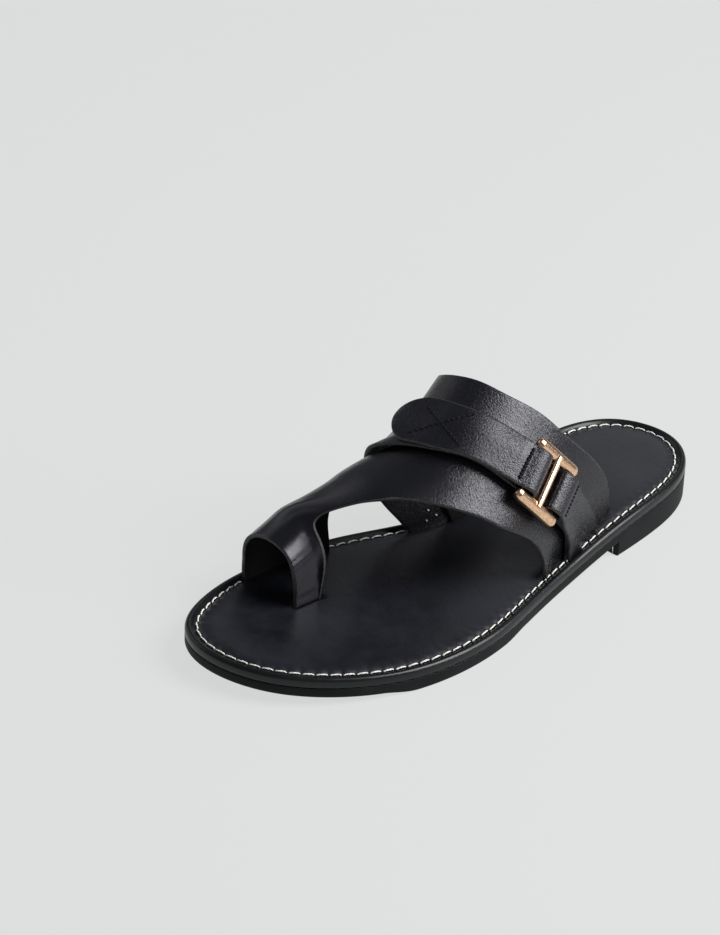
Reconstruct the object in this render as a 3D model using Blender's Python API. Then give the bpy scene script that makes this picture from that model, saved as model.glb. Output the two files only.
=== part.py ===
"""Toe loop sandal for the left foot, standing on its sole.

+Z is up, the toe points to -Y, the outer (lateral) side of the foot is +X. Sizes in the
tables are millimetres in the shoemaker's frame, whose x = 0, y = 0 lies in the middle of the
stitched line; the finished parts are moved so that the origin is under the middle of the box.
"""

import math

import bmesh
import bpy
import numpy as np
from mathutils import Matrix
from mathutils.geometry import delaunay_2d_cdt

MM = 0.001
GAP = 0.3                 # air between neighbouring pieces
LEATHER = 1.8             # thickness of the upper's leather
STRAP_LEATHER = 1.5       # thickness of the folded straps

RIM_WIDTH = 4.8           # from the stitched line out to the edge of the sole
RAND_HEIGHT = 4.1         # glossy layer above the groove
OUTSOLE_HEIGHT = 4.4      # rubber layer under the groove
GROOVE = 0.9              # depth of the rounding that makes the groove
HEEL_BREAST = 58.5        # y of the front face of the heel
FLAT_TREAD = (-66.0, -22.0)   # the ball of the sole rests on the ground between these
INSET = 1.6               # strap feet stand this far inside the stitched line
FOOTBED_STEP = 3.0        # thickness of the footbed
FOOTBED_ROUND = 1.8       # its rolled edge
FOOTBED_INSET = 0.2       # its edge lies this far inside the stitched line
RIM_ROUND = 2.4           # the rim rolls over to its crest within this depth
RIM_ROLL = 1.6            # and stands this much lower at its outer edge
RIM_DIP = 0.9             # it dips this much from the crest to the seam
TREAD_EASE = 14.0         # the flat at the ball eases into the curve over this length
HEEL_FACE = 0.5           # the breast leans back by this much
SOLE_FACETS = 6           # every sixth point of the stitched line is a corner of the sole
SOLE_SPACING = (13.0, 8.0)

# The stitched line, seen from above, from the toe round the outer side to the heel and back.
STITCH_LINE = np.array([
    # x      y
    (-6.0, -121.5),
    (13.3, -115.6),
    (28.8, -102.2),
    (41.6, -80.5),
    (48.0, -54.9),
    (47.0, -26.2),
    (39.8, 1.8),
    (33.2, 30.3),
    (29.4, 60.0),
    (25.8, 84.7),
    (17.8, 107.6),
    (0.0, 121.1),
    (-23.0, 112.8),
    (-30.6, 85.4),
    (-25.3, 60.1),
    (-20.6, 30.0),
    (-24.0, -0.6),
    (-34.4, -30.3),
    (-38.9, -55.1),
    (-38.6, -79.9),
    (-32.7, -102.4),
    (-22.2, -117.3),
])

# Height of the footbed above the ground along the shoe: toe spring, ball, arch and heel.
FOOTBED_TOP = np.array([
    # y      z
    (-130, 14.4),
    (-110, 12.7),
    (-90, 11.2),
    (-70, 10.1),
    (-50, 9.7),
    (-30, 9.6),
    (-10, 9.7),
    (10, 10.0),
    (30, 11.2),
    (50, 14.0),
    (70, 16.3),
    (90, 16.9),
    (110, 16.9),
    (130, 16.9),
])

# Sections of the last that the upper is drawn over. height: of the crest over the footbed;
# crest: its place between the two feet of the arch; fullness: under 1 squares the shoulders;
# bulge: how far the inner side swells past its foot.
SECTIONS = np.array([
    # y  height  crest  fullness  bulge
    (-80, 22.5, 0.66, 0.74, 6.0),
    (-64, 31.5, 0.57, 0.80, 5.0),
    (-50, 42.0, 0.42, 0.86, 3.0),
    (-38, 47.0, 0.36, 0.90, 2.0),
    (-20, 54.0, 0.37, 0.94, 5.0),
    (0, 66.5, 0.34, 0.94, 14.0),
    (20, 78.0, 0.32, 0.93, 20.5),
    (40, 85.0, 0.32, 0.92, 21.0),
    (65, 89.0, 0.33, 0.91, 20.0),
])
SLOT_X = -9.6             # the toe leg goes down through the footbed here
SLOT_Y = (-79.8, -65.8)   # between these
LEG_FOOT = 2.0            # and reaches this far under the footbed's top
TUNNEL = (-66.0, -44.0)   # the arch opens from the toe tunnel to the full width here

# Edges of the straps on the last. turn: degrees of arch from the inner foot (0) over the
# crest (about 90) to the outer foot (180); y: along the shoe.
TOE_PIECE_EDGE = np.array([
    # turn   y
    (180, -79.4),
    (158, -79.0),
    (129, -78.6),
    (92, -79.0),
    (50, -79.2),
    (0, -80.0),
    (0, -39.6),
    (20, -38.8),
    (45, -35.2),
    (70, -26.0),
    (92, -13.0),
    (112, -4.0),
    (135, 5.0),
    (152, 12.5),
    (166, 21.0),
    (174, 28.6),
    (180, 29.8),
    (180, 14.0),
    (171, 9.7),
    (158, -1.5),
    (148, -11.0),
    (137, -18.7),
    (120, -31.3),
    (109, -39.6),
    (100, -46.6),
    (97, -51.5),
    (99, -56.0),
    (104, -59.4),
    (112, -61.9),
    (122, -63.3),
    (150, -63.9),
    (180, -66.2),
])
TOE_PIECE_CORNERS = (0, 5, 6, 16, 17, 31)
TOE_PIECE_BACK = slice(6, 17)     # the rows of its back edge, which the band covers

BAND_EDGE = np.array([
    # turn   y
    (0, 16.0),
    (15, 6.0),
    (35, -8.0),
    (55, -18.0),
    (75, -20.5),
    (95, -13.5),
    (115, -4.5),
    (135, 5.0),
    (155, 17.0),
    (168, 28.0),
    (180, 36.0),
    (180, 59.6),
    (176, 58.7),
    (168, 54.7),
    (157, 45.4),
    (146, 35.2),
    (132, 25.8),
    (116, 16.5),
    (100, 11.4),
    (87, 8.8),
    (74, 9.4),
    (62, 14.0),
    (48, 23.0),
    (32, 35.0),
    (15, 49.0),
    (0, 59.0),
])
BAND_CORNERS = (0, 10, 11, 25)
BAND_RAMP = 11.0          # the band comes down off the toe piece over this length
BAND_STEP = 0.45          # its front edge is a step of this width in the wall
DEGREE = 0.62             # millimetres of leather for a degree of turn, near enough

# The folded strap: both edges of its under layer from the inner foot to the buckle, and of
# its upper layer from the buckle back to the rounded end.
UNDER_LAYER = np.array([
    # turn  front  back
    (0, -5.8, 20.5),
    (12, -14.0, 15.2),
    (25, -20.4, 6.6),
    (40, -24.6, -1.6),
    (55, -27.0, -4.9),
    (70, -27.2, -5.6),
    (85, -23.4, -4.2),
    (100, -18.4, -0.4),
    (115, -11.8, 4.8),
    (128, -6.2, 10.8),
    (140, 0.6, 18.0),
])
UPPER_LAYER = np.array([
    # turn  front  back
    (140, 0.4, 17.6),
    (128, -6.4, 10.6),
    (113, -13.0, 4.0),
    (102, -17.6, 0.4),
    (93, -20.4, -1.4),
])
TAB_LENGTH = 16.5         # the end runs on straight past the crest by this much
TAB_RISE = 0.6            # and curls up a little
STRAP_CLEARANCE = 0.45    # between the straps and the leather they lie on

ANCHOR_LAYER = np.array([
    # turn  front  back
    (180, 31.0, 47.0),
    (174, 28.6, 45.2),
    (168, 24.2, 41.6),
])
ANCHOR_LIFT = 4.9         # middle of the anchor strap where it rises to the buckle

# The buckle: two side rails and three bars, lying on the outer side of the instep.
BUCKLE_FRONT = (138.8, 6.3)   # turn and y of the two ends of its middle line
BUCKLE_REAR = (157.4, 19.4)
BUCKLE_LIFT = 7.0         # middle of the bars over the last
RAIL_LENGTH = 24.5
RAIL_WIDTH = 3.6
RAIL_THICKNESS = 3.4
BAR_LENGTH = 22.8         # between the middles of the rails
BAR_RADIUS = 1.0
BAR_SPACING = 8.2
CENTRE_BAR_RISE = 0.8     # the middle bar lies higher, level with the top of the rails
STRAP_HALF_WIDTH = 8.9    # of the folded strap at the buckle's front bar
ANCHOR_HALF_WIDTH = 8.5   # of the anchor strap at its rear bar
EYE_RADIUS = BAR_RADIUS + GAP


def linear(hex_colour):
    """An sRGB hex colour as the linear colour that Blender's shaders take."""
    parts = [int(hex_colour[i:i + 2], 16) / 255 for i in (1, 3, 5)]
    return [p / 12.92 if p <= 0.04045 else ((p + 0.055) / 1.055) ** 2.4 for p in parts]


def material(name, hex_colour, roughness, metallic=0.0):
    made = bpy.data.materials.new(name)
    made.use_nodes = True
    shader = made.node_tree.nodes["Principled BSDF"]
    shader.inputs["Base Color"].default_value = (*linear(hex_colour), 1)
    shader.inputs["Roughness"].default_value = roughness
    shader.inputs["Metallic"].default_value = metallic
    return made


def spline_slopes(knots, values):
    """Slopes at the knots of the natural cubic spline through the values."""
    count = len(knots)
    step = np.diff(knots)
    matrix = np.zeros((count, count))
    right = np.zeros((count,) + values.shape[1:])
    rise = np.diff(values, axis=0) / step[:, None]
    matrix[0, :2] = (2, 1)
    right[0] = 3 * rise[0]
    matrix[-1, -2:] = (1, 2)
    right[-1] = 3 * rise[-1]
    for i in range(1, count - 1):
        matrix[i, i - 1:i + 2] = (step[i], 2 * (step[i - 1] + step[i]), step[i - 1])
        right[i] = 3 * (step[i] * rise[i - 1] + step[i - 1] * rise[i])
    return np.linalg.solve(matrix, right)


def smooth(table, at):
    """Columns of a table, read smoothly at the given values of its first column."""
    order = np.argsort(table[:, 0])
    knots, values = table[order, 0], table[order, 1:]
    slopes = spline_slopes(knots, values)
    at = np.clip(np.atleast_1d(np.asarray(at, float)), knots[0], knots[-1])
    i = np.clip(np.searchsorted(knots, at) - 1, 0, len(knots) - 2)
    width = (knots[i + 1] - knots[i])[:, None]
    t = ((at - knots[i]) / (knots[i + 1] - knots[i]))[:, None]
    return (
        values[i] * (1 + 2 * t) * (1 - t) ** 2
        + slopes[i] * width * t * (1 - t) ** 2
        + values[i + 1] * t * t * (3 - 2 * t)
        + slopes[i + 1] * width * t * t * (t - 1)
    )


def run_through(points, spacing):
    """An open smooth curve through the points, sampled about every spacing."""
    steps = np.maximum(np.linalg.norm(np.diff(points, axis=0), axis=1), 1e-6) ** 0.5
    knots = np.concatenate([[0], np.cumsum(steps)])
    table = np.column_stack([knots, points])
    fine = smooth(table, np.linspace(0, knots[-1], 40 * len(points)))
    length = np.concatenate([[0], np.cumsum(np.linalg.norm(np.diff(fine, axis=0), axis=1))])
    count = max(2, int(round(length[-1] / spacing)) + 1)
    marks = np.linspace(0, length[-1], count)
    return np.column_stack([np.interp(marks, length, fine[:, k]) for k in range(fine.shape[1])])


def closed_curve(points, count):
    """A closed smooth curve through the points, as count points evenly spaced."""
    wrapped = np.vstack([points[-3:], points, points[:4]])
    steps = np.linalg.norm(np.diff(wrapped, axis=0), axis=1) ** 0.5
    knots = np.concatenate([[0], np.cumsum(steps)])
    table = np.column_stack([knots, wrapped])
    fine = smooth(table, np.linspace(knots[3], knots[3 + len(points)], 4000))
    length = np.concatenate([[0], np.cumsum(np.linalg.norm(np.diff(fine, axis=0), axis=1))])
    marks = np.linspace(0, length[-1], count, endpoint=False)
    return np.column_stack([np.interp(marks, length, fine[:, k]) for k in range(2)])


def outward(loop):
    """Unit normals pointing out of a loop that runs anticlockwise."""
    along = np.roll(loop, -1, axis=0) - np.roll(loop, 1, axis=0)
    along /= np.linalg.norm(along, axis=1)[:, None]
    return np.column_stack([along[:, 1], -along[:, 0]])


def inside(loop, points):
    """Which points lie inside a closed loop."""
    x, y = points[:, 0][:, None], points[:, 1][:, None]
    ax, ay = loop[:, 0], loop[:, 1]
    bx, by = np.roll(ax, -1), np.roll(ay, -1)
    crosses = (ay > y) != (by > y)
    with np.errstate(divide="ignore", invalid="ignore"):
        at = ax + (y - ay) * (bx - ax) / (by - ay)
    return (crosses & (x < at)).sum(axis=1) % 2 == 1


def distance(loop, points):
    """Distance of each point from a closed loop."""
    a, b = loop, np.roll(loop, -1, axis=0)
    run = b - a
    offset = points[:, None, :] - a[None]
    t = (offset * run).sum(2) / np.maximum((run * run).sum(1), 1e-12)
    offset -= np.clip(t, 0, 1)[..., None] * run
    return np.linalg.norm(offset, axis=2).min(axis=1)


def edge_of(table, corners, spacing):
    """A closed outline, in millimetres of leather, smooth between a table's corners."""
    rows = table * np.array([DEGREE, 1.0])
    pieces = []
    for k, first in enumerate(corners):
        last = corners[(k + 1) % len(corners)]
        index = np.arange(first, last + 1 if last > first else last + len(rows) + 1) % len(rows)
        pieces.append(run_through(rows[index], spacing)[:-1])
    return np.vstack(pieces)


STITCHED = closed_curve(STITCH_LINE, 600)
STITCHED_OUT = outward(STITCHED)
SOLE_EDGE = STITCHED + RIM_WIDTH * STITCHED_OUT
BOX_MIDDLE = (SOLE_EDGE.min(axis=0) + SOLE_EDGE.max(axis=0)) / 2


def placed(points):
    """Shoemaker's millimetres to metres in the part's own frame."""
    return [tuple(p) for p in (np.asarray(points) - [*BOX_MIDDLE, 0]) * MM]


def footbed_z(y):
    return smooth(FOOTBED_TOP, y)[:, 0]


def stitch_x(y, side):
    """x of the stitched line at y, on the outer (+1) or inner (-1) side."""
    low, high = STITCHED[:, 1].argmin(), STITCHED[:, 1].argmax()
    turned = np.roll(STITCHED, -low, axis=0)
    top = (high - low) % len(STITCHED)
    half = turned[:top + 1] if side > 0 else np.vstack([turned[top:], turned[:1]])[::-1]
    return np.interp(y, half[:, 1], half[:, 0])


def ease(t):
    t = np.clip(t, 0, 1)
    return t * t * (3 - 2 * t)


def last_point(turn, y):
    """A point of the last. Past 0 or 180 degrees it runs straight down, 1 mm a degree."""
    turn, y = np.asarray(turn, float), np.asarray(y, float)
    height, crest, fullness, bulge = smooth(SECTIONS, y).T
    angle = np.radians(np.clip(turn, 0, 180))
    inner = stitch_x(y, -1) + INSET
    open_width = ease((y - TUNNEL[0]) / (TUNNEL[1] - TUNNEL[0]))
    outer = SLOT_X + (stitch_x(y, 1) - INSET - SLOT_X) * open_width
    across = (1 - np.cos(angle)) / 2
    across = across * (1 + (4 * crest - 2) * (1 - across))
    x = inner + (outer - inner) * across - bulge * np.sin(angle) * (1 + np.cos(angle)) / 2
    below = np.maximum(-turn, 0) + np.maximum(turn - 180, 0)
    z = footbed_z(y) + height * np.maximum(np.sin(angle), 0) ** fullness - below
    return np.column_stack([x, y, z])


def last_normal(turn, y):
    """Outward normal of the last; at its feet it is taken a little higher up."""
    turn, y = np.clip(np.asarray(turn, float), 2, 178), np.asarray(y, float)
    over = last_point(turn + 0.5, y) - last_point(turn - 0.5, y)
    along = last_point(turn, y + 0.5) - last_point(turn, y - 0.5)
    normal = np.cross(along, over)
    return -normal / np.linalg.norm(normal, axis=1)[:, None]


def mesh_object(name, vertices, faces, finish, smooth_angle=35):
    mesh = bpy.data.meshes.new(name)
    mesh.from_pydata(placed(vertices), [], [tuple(int(i) for i in f) for f in faces])
    mesh.update()
    shape = bmesh.new()
    shape.from_mesh(mesh)
    bmesh.ops.recalc_face_normals(shape, faces=shape.faces)
    shape.to_mesh(mesh)
    shape.free()
    mesh.shade_smooth()
    mesh.set_sharp_from_angle(angle=math.radians(smooth_angle))
    made = bpy.data.objects.new(name, mesh)
    made.data.materials.append(finish)
    PARTS.objects.link(made)
    return made


def flat_mesh(loops, spacing, keep):
    """Triangles of a flat region: its loops, a grid between them, and a test of what to keep."""
    points, edges = [], []
    for loop in loops:
        start = len(points)
        points += [tuple(p) for p in loop]
        edges += [(start + i, start + (i + 1) % len(loop)) for i in range(len(loop))]
    every = np.vstack(loops)
    low, high = every.min(axis=0), every.max(axis=0)
    rows = np.arange(low[1] + spacing[1] / 2, high[1], spacing[1])
    grid = [
        (x, y)
        for k, y in enumerate(rows)
        for x in np.arange(low[0] + (k % 2) * spacing[0] / 2, high[0], spacing[0])
    ]
    grid = np.array(grid)
    clear = keep(grid)
    for loop in loops:
        clear &= distance(loop, grid) > 0.45 * min(spacing)
    points += [tuple(p) for p in grid[clear]]
    flat, _, faces, *_ = delaunay_2d_cdt(points, edges, [], 0, 1e-5)
    flat = np.array([tuple(p) for p in flat])
    faces = np.array([tuple(f) for f in faces])
    faces = faces[keep(flat[faces].mean(axis=1))]
    used, index = np.unique(faces, return_inverse=True)
    return flat[used], index.reshape(-1, 3)


def walled(top, bottom, faces):
    """A closed wall between two copies of a flat mesh."""
    count = len(top)
    ends = np.concatenate([faces[:, [0, 1]], faces[:, [1, 2]], faces[:, [2, 0]]])
    known = {tuple(e) for e in ends.tolist()}
    rim = [(a, b, b + count, a + count) for a, b in ends.tolist() if (b, a) not in known]
    under = [tuple(f[::-1] + count) for f in faces]
    return np.vstack([top, bottom]), [tuple(f) for f in faces] + under + [r[::-1] for r in rim]


def rounded_drop(depth, radius):
    """How far a rounded edge has dropped at a given depth inside the outline."""
    t = np.clip(1 - depth / radius, 0, 1)
    return radius * (1 - np.sqrt(1 - t * t))


def sole_layer(name, outline_offset, top, bottom, finish, rings, holes=()):
    """A plate of the sole: an outline, and the heights of its two faces by place and depth."""
    outline = (STITCHED + outline_offset * STITCHED_OUT)[::SOLE_FACETS]
    normals = outward(outline)
    loops = [outline] + [outline - r * normals for r in rings] + list(holes)

    def keep(points):
        kept = inside(outline, points)
        for hole in holes:
            kept &= ~inside(hole, points)
        return kept

    flat, faces = flat_mesh(loops, SOLE_SPACING, keep)
    depth = distance(outline, flat)
    upper = np.column_stack([flat, top(flat, depth)])
    lower = np.column_stack([flat, bottom(flat, depth)])
    vertices, faces = walled(upper, lower, faces)
    return mesh_object(name, vertices, faces, finish)


def tread_z(y):
    """Underside of the sole: toe spring, the flat at the ball, the arch and the heel."""
    hang = footbed_z(y) - RAND_HEIGHT - OUTSOLE_HEIGHT
    front = ease((y - FLAT_TREAD[0]) / TREAD_EASE + 1)
    back = ease((FLAT_TREAD[1] - y) / TREAD_EASE + 1)
    under = np.maximum(hang * (1 - front * back), 0)
    return np.where(y > HEEL_BREAST, 0, under)


def make_outsole(finish):
    """Rubber layer with the heel moulded on behind the breast."""

    def top(flat, depth):
        return footbed_z(flat[:, 1]) - RAND_HEIGHT - GAP - rounded_drop(depth, GROOVE)

    outline = SOLE_EDGE[::SOLE_FACETS]
    normals = outward(outline)
    half_width = 60.0
    front, back = HEEL_BREAST - HEEL_FACE / 2, HEEL_BREAST + HEEL_FACE / 2
    breast = np.array([
        (-half_width, front),
        (half_width, front),
        (half_width, back),
        (-half_width, back),
    ])
    loops = [outline, outline - 0.5 * normals, outline - 1.4 * normals, breast]
    flat, faces = flat_mesh(loops, SOLE_SPACING, lambda points: inside(outline, points))
    depth = distance(outline, flat)
    vertices, faces = walled(
        np.column_stack([flat, top(flat, depth)]),
        np.column_stack([flat, tread_z(flat[:, 1])]),
        faces,
    )
    return mesh_object("outsole", vertices, faces, finish)


def make_rand(finish):
    """Glossy rim layer: a rounded rim round a recess that takes the footbed."""
    shoulder = RIM_WIDTH - 0.9
    floor_depth = RIM_WIDTH + GAP
    crest = 0.1

    def top(flat, depth):
        z = footbed_z(flat[:, 1])
        rim = z + crest - RIM_ROLL * np.clip(1 - depth / RIM_ROUND, 0, 1) ** 2
        rim = rim - RIM_DIP * ease((depth - RIM_ROUND) / (shoulder - RIM_ROUND))
        return np.where(depth > floor_depth - 0.05, z - FOOTBED_STEP, rim)

    def bottom(flat, depth):
        return footbed_z(flat[:, 1]) - RAND_HEIGHT + rounded_drop(depth, GROOVE) * 0.8

    rings = (0.5, 1.3, RIM_ROUND, 3.3, shoulder, floor_depth)
    return sole_layer("rand", RIM_WIDTH, top, bottom, finish, rings)


def make_footbed(finish):
    """Covered footbed in the rand's recess, with the slot for the toe leg."""
    slot = np.array([
        (SLOT_X - GAP, SLOT_Y[0] - GAP),
        (SLOT_X + LEATHER + GAP, SLOT_Y[0] - GAP),
        (SLOT_X + LEATHER + GAP, SLOT_Y[1] + GAP),
        (SLOT_X - GAP, SLOT_Y[1] + GAP),
    ])

    def top(flat, depth):
        return footbed_z(flat[:, 1]) - rounded_drop(depth, FOOTBED_ROUND) * 0.8

    def bottom(flat, depth):
        return footbed_z(flat[:, 1]) - FOOTBED_STEP + GAP

    rings = (0.5, FOOTBED_ROUND)
    return sole_layer("footbed", -FOOTBED_INSET, top, bottom, finish, rings, (slot,))


def overlap_ramp(turn, y):
    """1 where the band lies on the toe piece, easing to 0 behind the toe piece's back edge."""
    back = smooth(TOE_PIECE_EDGE[TOE_PIECE_BACK], turn)
    return ease(1 - (y - back[:, 0]) / BAND_RAMP)


def band_lift(turn, y):
    """Height of the outer face of the instep band over the last."""
    return LEATHER * (1 + overlap_ramp(turn, y))


def make_upper(finish):
    """Toe piece and instep band in one wall, joined where they cross under the strap."""
    toe = edge_of(TOE_PIECE_EDGE, TOE_PIECE_CORNERS, 3.6)
    band = edge_of(BAND_EDGE, BAND_CORNERS, 4.2)
    side = outward(band)
    if inside(band, band[:1] + 0.2 * side[:1])[0]:
        side = -side
    before = band + BAND_STEP * side

    def keep(points):
        return inside(toe, points) | inside(band, points)

    flat, faces = flat_mesh([toe, band, before], (4.4, 5.2), keep)
    turn, y = flat[:, 0] / DEGREE, flat[:, 1]
    on_band = inside(band, flat) | (distance(band, flat) < 0.05)
    outer_lift = np.where(on_band, band_lift(turn, y), LEATHER)
    at_inner_foot, at_outer_foot = turn < 0.5, turn > 179.5
    leg = at_outer_foot & (y < TUNNEL[0] + 6)
    turn = turn + np.where(at_inner_foot, GAP, 0) - np.where(at_outer_foot, GAP, 0)
    turn = turn + np.where(leg, LEG_FOOT + GAP, 0)
    rise = last_normal(turn, y)
    inner = last_point(turn, y)
    outer = inner + rise * outer_lift[:, None]
    feet = (turn < 1.5) | (turn > 178.5)
    outer[feet, 2] = inner[feet, 2]
    vertices, faces = walled(outer, inner, faces)
    return mesh_object("upper", vertices, faces, finish)


def buckle_frame():
    """Middle of the buckle, and its directions along the strap, across it and up."""
    front = last_point(*[np.array([v]) for v in BUCKLE_FRONT])[0]
    rear = last_point(*[np.array([v]) for v in BUCKLE_REAR])[0]
    middle = [np.array([(a + b) / 2]) for a, b in zip(BUCKLE_FRONT, BUCKLE_REAR)]
    along = (rear - front) / np.linalg.norm(rear - front)
    up = last_normal(*middle)[0]
    up -= along * (up @ along)
    up /= np.linalg.norm(up)
    across = np.cross(up, along)
    centre = last_point(*middle)[0] + up * BUCKLE_LIFT
    return centre, along, across, up


def strap_row(turn, front, back, lift, across_count):
    """Points and normals of one row across a strap: lift is its middle over the upper."""
    y = np.linspace(front, back, across_count)
    turn = np.full(across_count, float(turn))
    rise = last_normal(turn, y)
    over = band_lift(turn, y) + lift
    return last_point(turn, y) + rise * over[:, None], rise


def foot_row(row):
    """A strap's lowest row, set upright and just clear of the footbed and the rim."""
    points, normals = row[0].copy(), row[1] * [1, 1, 0]
    points[:, 2] = footbed_z(points[:, 1]) + STRAP_CLEARANCE
    return points, normals / np.linalg.norm(normals, axis=1)[:, None]


def bar_row(place, angle, radius, half_width, across_count, frame):
    """A row of the fold round a bar; angle 0 faces the buckle's rear, 90 faces up."""
    centre, along, across, up = frame
    share = np.linspace(-1, 1, across_count)[:, None]
    radial = math.cos(angle) * along + math.sin(angle) * up
    middle = centre + place * along + share * half_width * across
    return middle + radial * radius, np.repeat(radial[None], across_count, axis=0)


def strip_solid(name, rows, finish, thickness):
    """A closed strip of leather through rows of points and normals, first row to last."""
    across_count = len(rows[0][0])
    top = np.vstack([p + n * thickness / 2 for p, n in rows])
    bottom = np.vstack([p - n * thickness / 2 for p, n in rows])
    faces = []
    for i in range(len(rows) - 1):
        for j in range(across_count - 1):
            a = i * across_count + j
            b = a + across_count
            faces += [(a, a + 1, b + 1), (a, b + 1, b)]
    vertices, faces = walled(top, bottom, np.array(faces))
    return mesh_object(name, vertices, faces, finish)


def blend_rows(rows, target, first):
    """Bend the rows from first to the last one so that the last one meets the target row."""
    shift = target[0] - rows[-1][0]
    turn = target[1] - rows[-1][1]
    made = []
    for k, (points, normals) in enumerate(rows):
        share = float(ease((k - first) / (len(rows) - 1 - first)))
        mixed = normals + turn * share
        mixed /= np.linalg.norm(mixed, axis=1)[:, None]
        made.append((points + shift * share, mixed))
    return made


def make_buckle_strap(finish):
    """Strap from the inner side over the instep, round the front bar and back on itself."""
    across_count = 7
    frame = buckle_frame()
    place = -BAR_SPACING
    radius = EYE_RADIUS + STRAP_LEATHER / 2
    lying = STRAP_CLEARANCE + STRAP_LEATHER / 2
    turns = np.linspace(0, 139, 27)
    edges = smooth(UNDER_LAYER, turns)
    under = [
        strap_row(turn, front, back, lying, across_count)
        for turn, (front, back) in zip(turns, edges)
    ]
    under[0] = foot_row(under[0])
    flipped = [(p, -n) for p, n in under]
    wrap = [
        bar_row(place, math.radians(a), radius, STRAP_HALF_WIDTH, across_count, frame)
        for a in (-90, -55, -20, 15, 50, 90)
    ]
    lower = blend_rows(flipped, wrap[0], len(flipped) - 4)
    turns = np.linspace(137, 93, 12)
    edges = smooth(UPPER_LAYER, turns)
    doubled = lying + STRAP_LEATHER + GAP
    upper = [
        strap_row(turn, front, back, doubled, across_count)
        for turn, (front, back) in zip(turns, edges)
    ]
    upper = blend_rows(upper[::-1], wrap[-1], len(upper) - 5)[::-1]
    points, normals = upper[-1]
    ahead = upper[-1][0] - upper[-2][0]
    ahead /= np.linalg.norm(ahead, axis=1)[:, None]
    middle = points.mean(axis=0)
    reach = ahead.mean(axis=0)
    reach /= np.linalg.norm(reach)
    half = np.linalg.norm(points[-1] - points[0]) / 2
    side = (points[-1] - points[0]) / (2 * half)
    tab = []
    for run in np.array([0.2, 0.4, 0.55, 0.7, 0.82, 0.91, 0.97, 1.0]) * TAB_LENGTH:
        into = max(run - (TAB_LENGTH - half), 0)
        width = math.sqrt(max(half * half - into * into, (0.18 * half) ** 2))
        share = np.linspace(-1, 1, across_count)[:, None]
        flat = middle + reach * run + side * width * share
        start_row = points + reach * run
        keep_shape = 1 - float(ease(run / (0.7 * TAB_LENGTH)))
        rise = TAB_RISE * (run / TAB_LENGTH) ** 2
        tab.append((flat * (1 - keep_shape) + start_row * keep_shape
                    + normals.mean(axis=0) * rise, normals))
    rows = lower + wrap[1:-1] + upper + tab
    return strip_solid("buckle_strap", rows, finish, STRAP_LEATHER)


def make_anchor_strap(finish):
    """Short strap from the outer side, round the rear bar and tucked back under itself."""
    across_count = 6
    frame = buckle_frame()
    radius = EYE_RADIUS + STRAP_LEATHER / 2
    turns = np.linspace(180, 158, 9)
    edges = smooth(ANCHOR_LAYER, turns)
    lying = STRAP_CLEARANCE + STRAP_LEATHER / 2
    outer = []
    for turn, (front, back) in zip(turns, edges):
        lift = lying + (ANCHOR_LIFT - LEATHER - lying) * float(ease((178 - turn) / 14))
        outer.append(strap_row(turn, front, back, lift, across_count))
    outer[0] = foot_row(outer[0])
    wrap = [
        bar_row(BAR_SPACING, math.radians(a), radius, ANCHOR_HALF_WIDTH, across_count, frame)
        for a in (90, 130, 165, 200, 235, 270)
    ]
    outer = blend_rows(outer, wrap[0], 3)
    points, normals = wrap[-1]
    tucked, sag = 7.5, 0.1
    flap = [
        (points + (frame[1] * tucked + normals * sag) * share, normals)
        for share in (1 / 3, 2 / 3, 1)
    ]
    rows = outer + wrap[1:] + flap
    return strip_solid("anchor_strap", rows, finish, STRAP_LEATHER)


def make_buckle(finish):
    """Cast frame: two round-ended rails joined by three bars."""
    centre, along, across, up = buckle_frame()
    count = 16
    half = RAIL_LENGTH / 2 - RAIL_WIDTH / 2
    profile = []
    for k in range(count):
        angle = 2 * math.pi * k / count
        end = half if k <= count // 4 or k > 3 * count // 4 else -half
        profile.append((
            end + math.cos(angle) * RAIL_WIDTH / 2,
            math.sin(angle) * RAIL_WIDTH / 2,
        ))
    levels = ((-0.5, 0.72), (-0.28, 1.0), (0.28, 1.0), (0.5, 0.72))
    rails = []
    for side in (-1, 1):
        base = centre + side * (BAR_LENGTH / 2) * across
        vertices = []
        for height, shrink in levels:
            for u, w in profile:
                lean = half * (1 if u > 0 else -1)
                vertices.append(
                    base + along * (lean + (u - lean) * shrink) + across * w * shrink
                    + up * height * RAIL_THICKNESS
                )
        faces = [tuple(range(count))[::-1], tuple(range(3 * count, 4 * count))]
        for level in range(3):
            for k in range(count):
                a = level * count + k
                b = level * count + (k + 1) % count
                faces.append((a, b, b + count, a + count))
        rails.append(mesh_object(f"rail_{side}", vertices, faces, finish))
    bars = []
    for place in (-BAR_SPACING, 0.0, BAR_SPACING):
        bpy.ops.mesh.primitive_cylinder_add(
            vertices=12, radius=BAR_RADIUS * MM, depth=BAR_LENGTH * MM
        )
        bar = bpy.context.object
        rise = CENTRE_BAR_RISE if place == 0 else 0.0
        middle = centre + along * place + up * rise
        turned = np.eye(4)
        turned[:3, 0] = along
        turned[:3, 1] = np.cross(across, along)
        turned[:3, 2] = across
        turned[:3, 3] = placed([middle])[0]
        bar.data.transform(Matrix(turned.tolist()))
        for collection in list(bar.users_collection):
            collection.objects.unlink(bar)
        PARTS.objects.link(bar)
        bars.append(bar)
    frame = rails[0]
    frame.name = "buckle"
    frame.data.name = "buckle"
    for other in rails[1:] + bars:
        join = frame.modifiers.new("join", "BOOLEAN")
        join.operation = "UNION"
        join.solver = "EXACT"
        join.object = other
        other.hide_render = True
        other.display_type = "WIRE"
        PARTS.objects.unlink(other)
        CUTTERS.objects.link(other)
    return frame


for old in list(bpy.data.objects):
    bpy.data.objects.remove(old)
PARTS = bpy.data.collections.new("toe_loop_sandal")
bpy.context.scene.collection.children.link(PARTS)
CUTTERS = bpy.data.collections.new("cutters")
bpy.context.scene.collection.children.link(CUTTERS)

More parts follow.
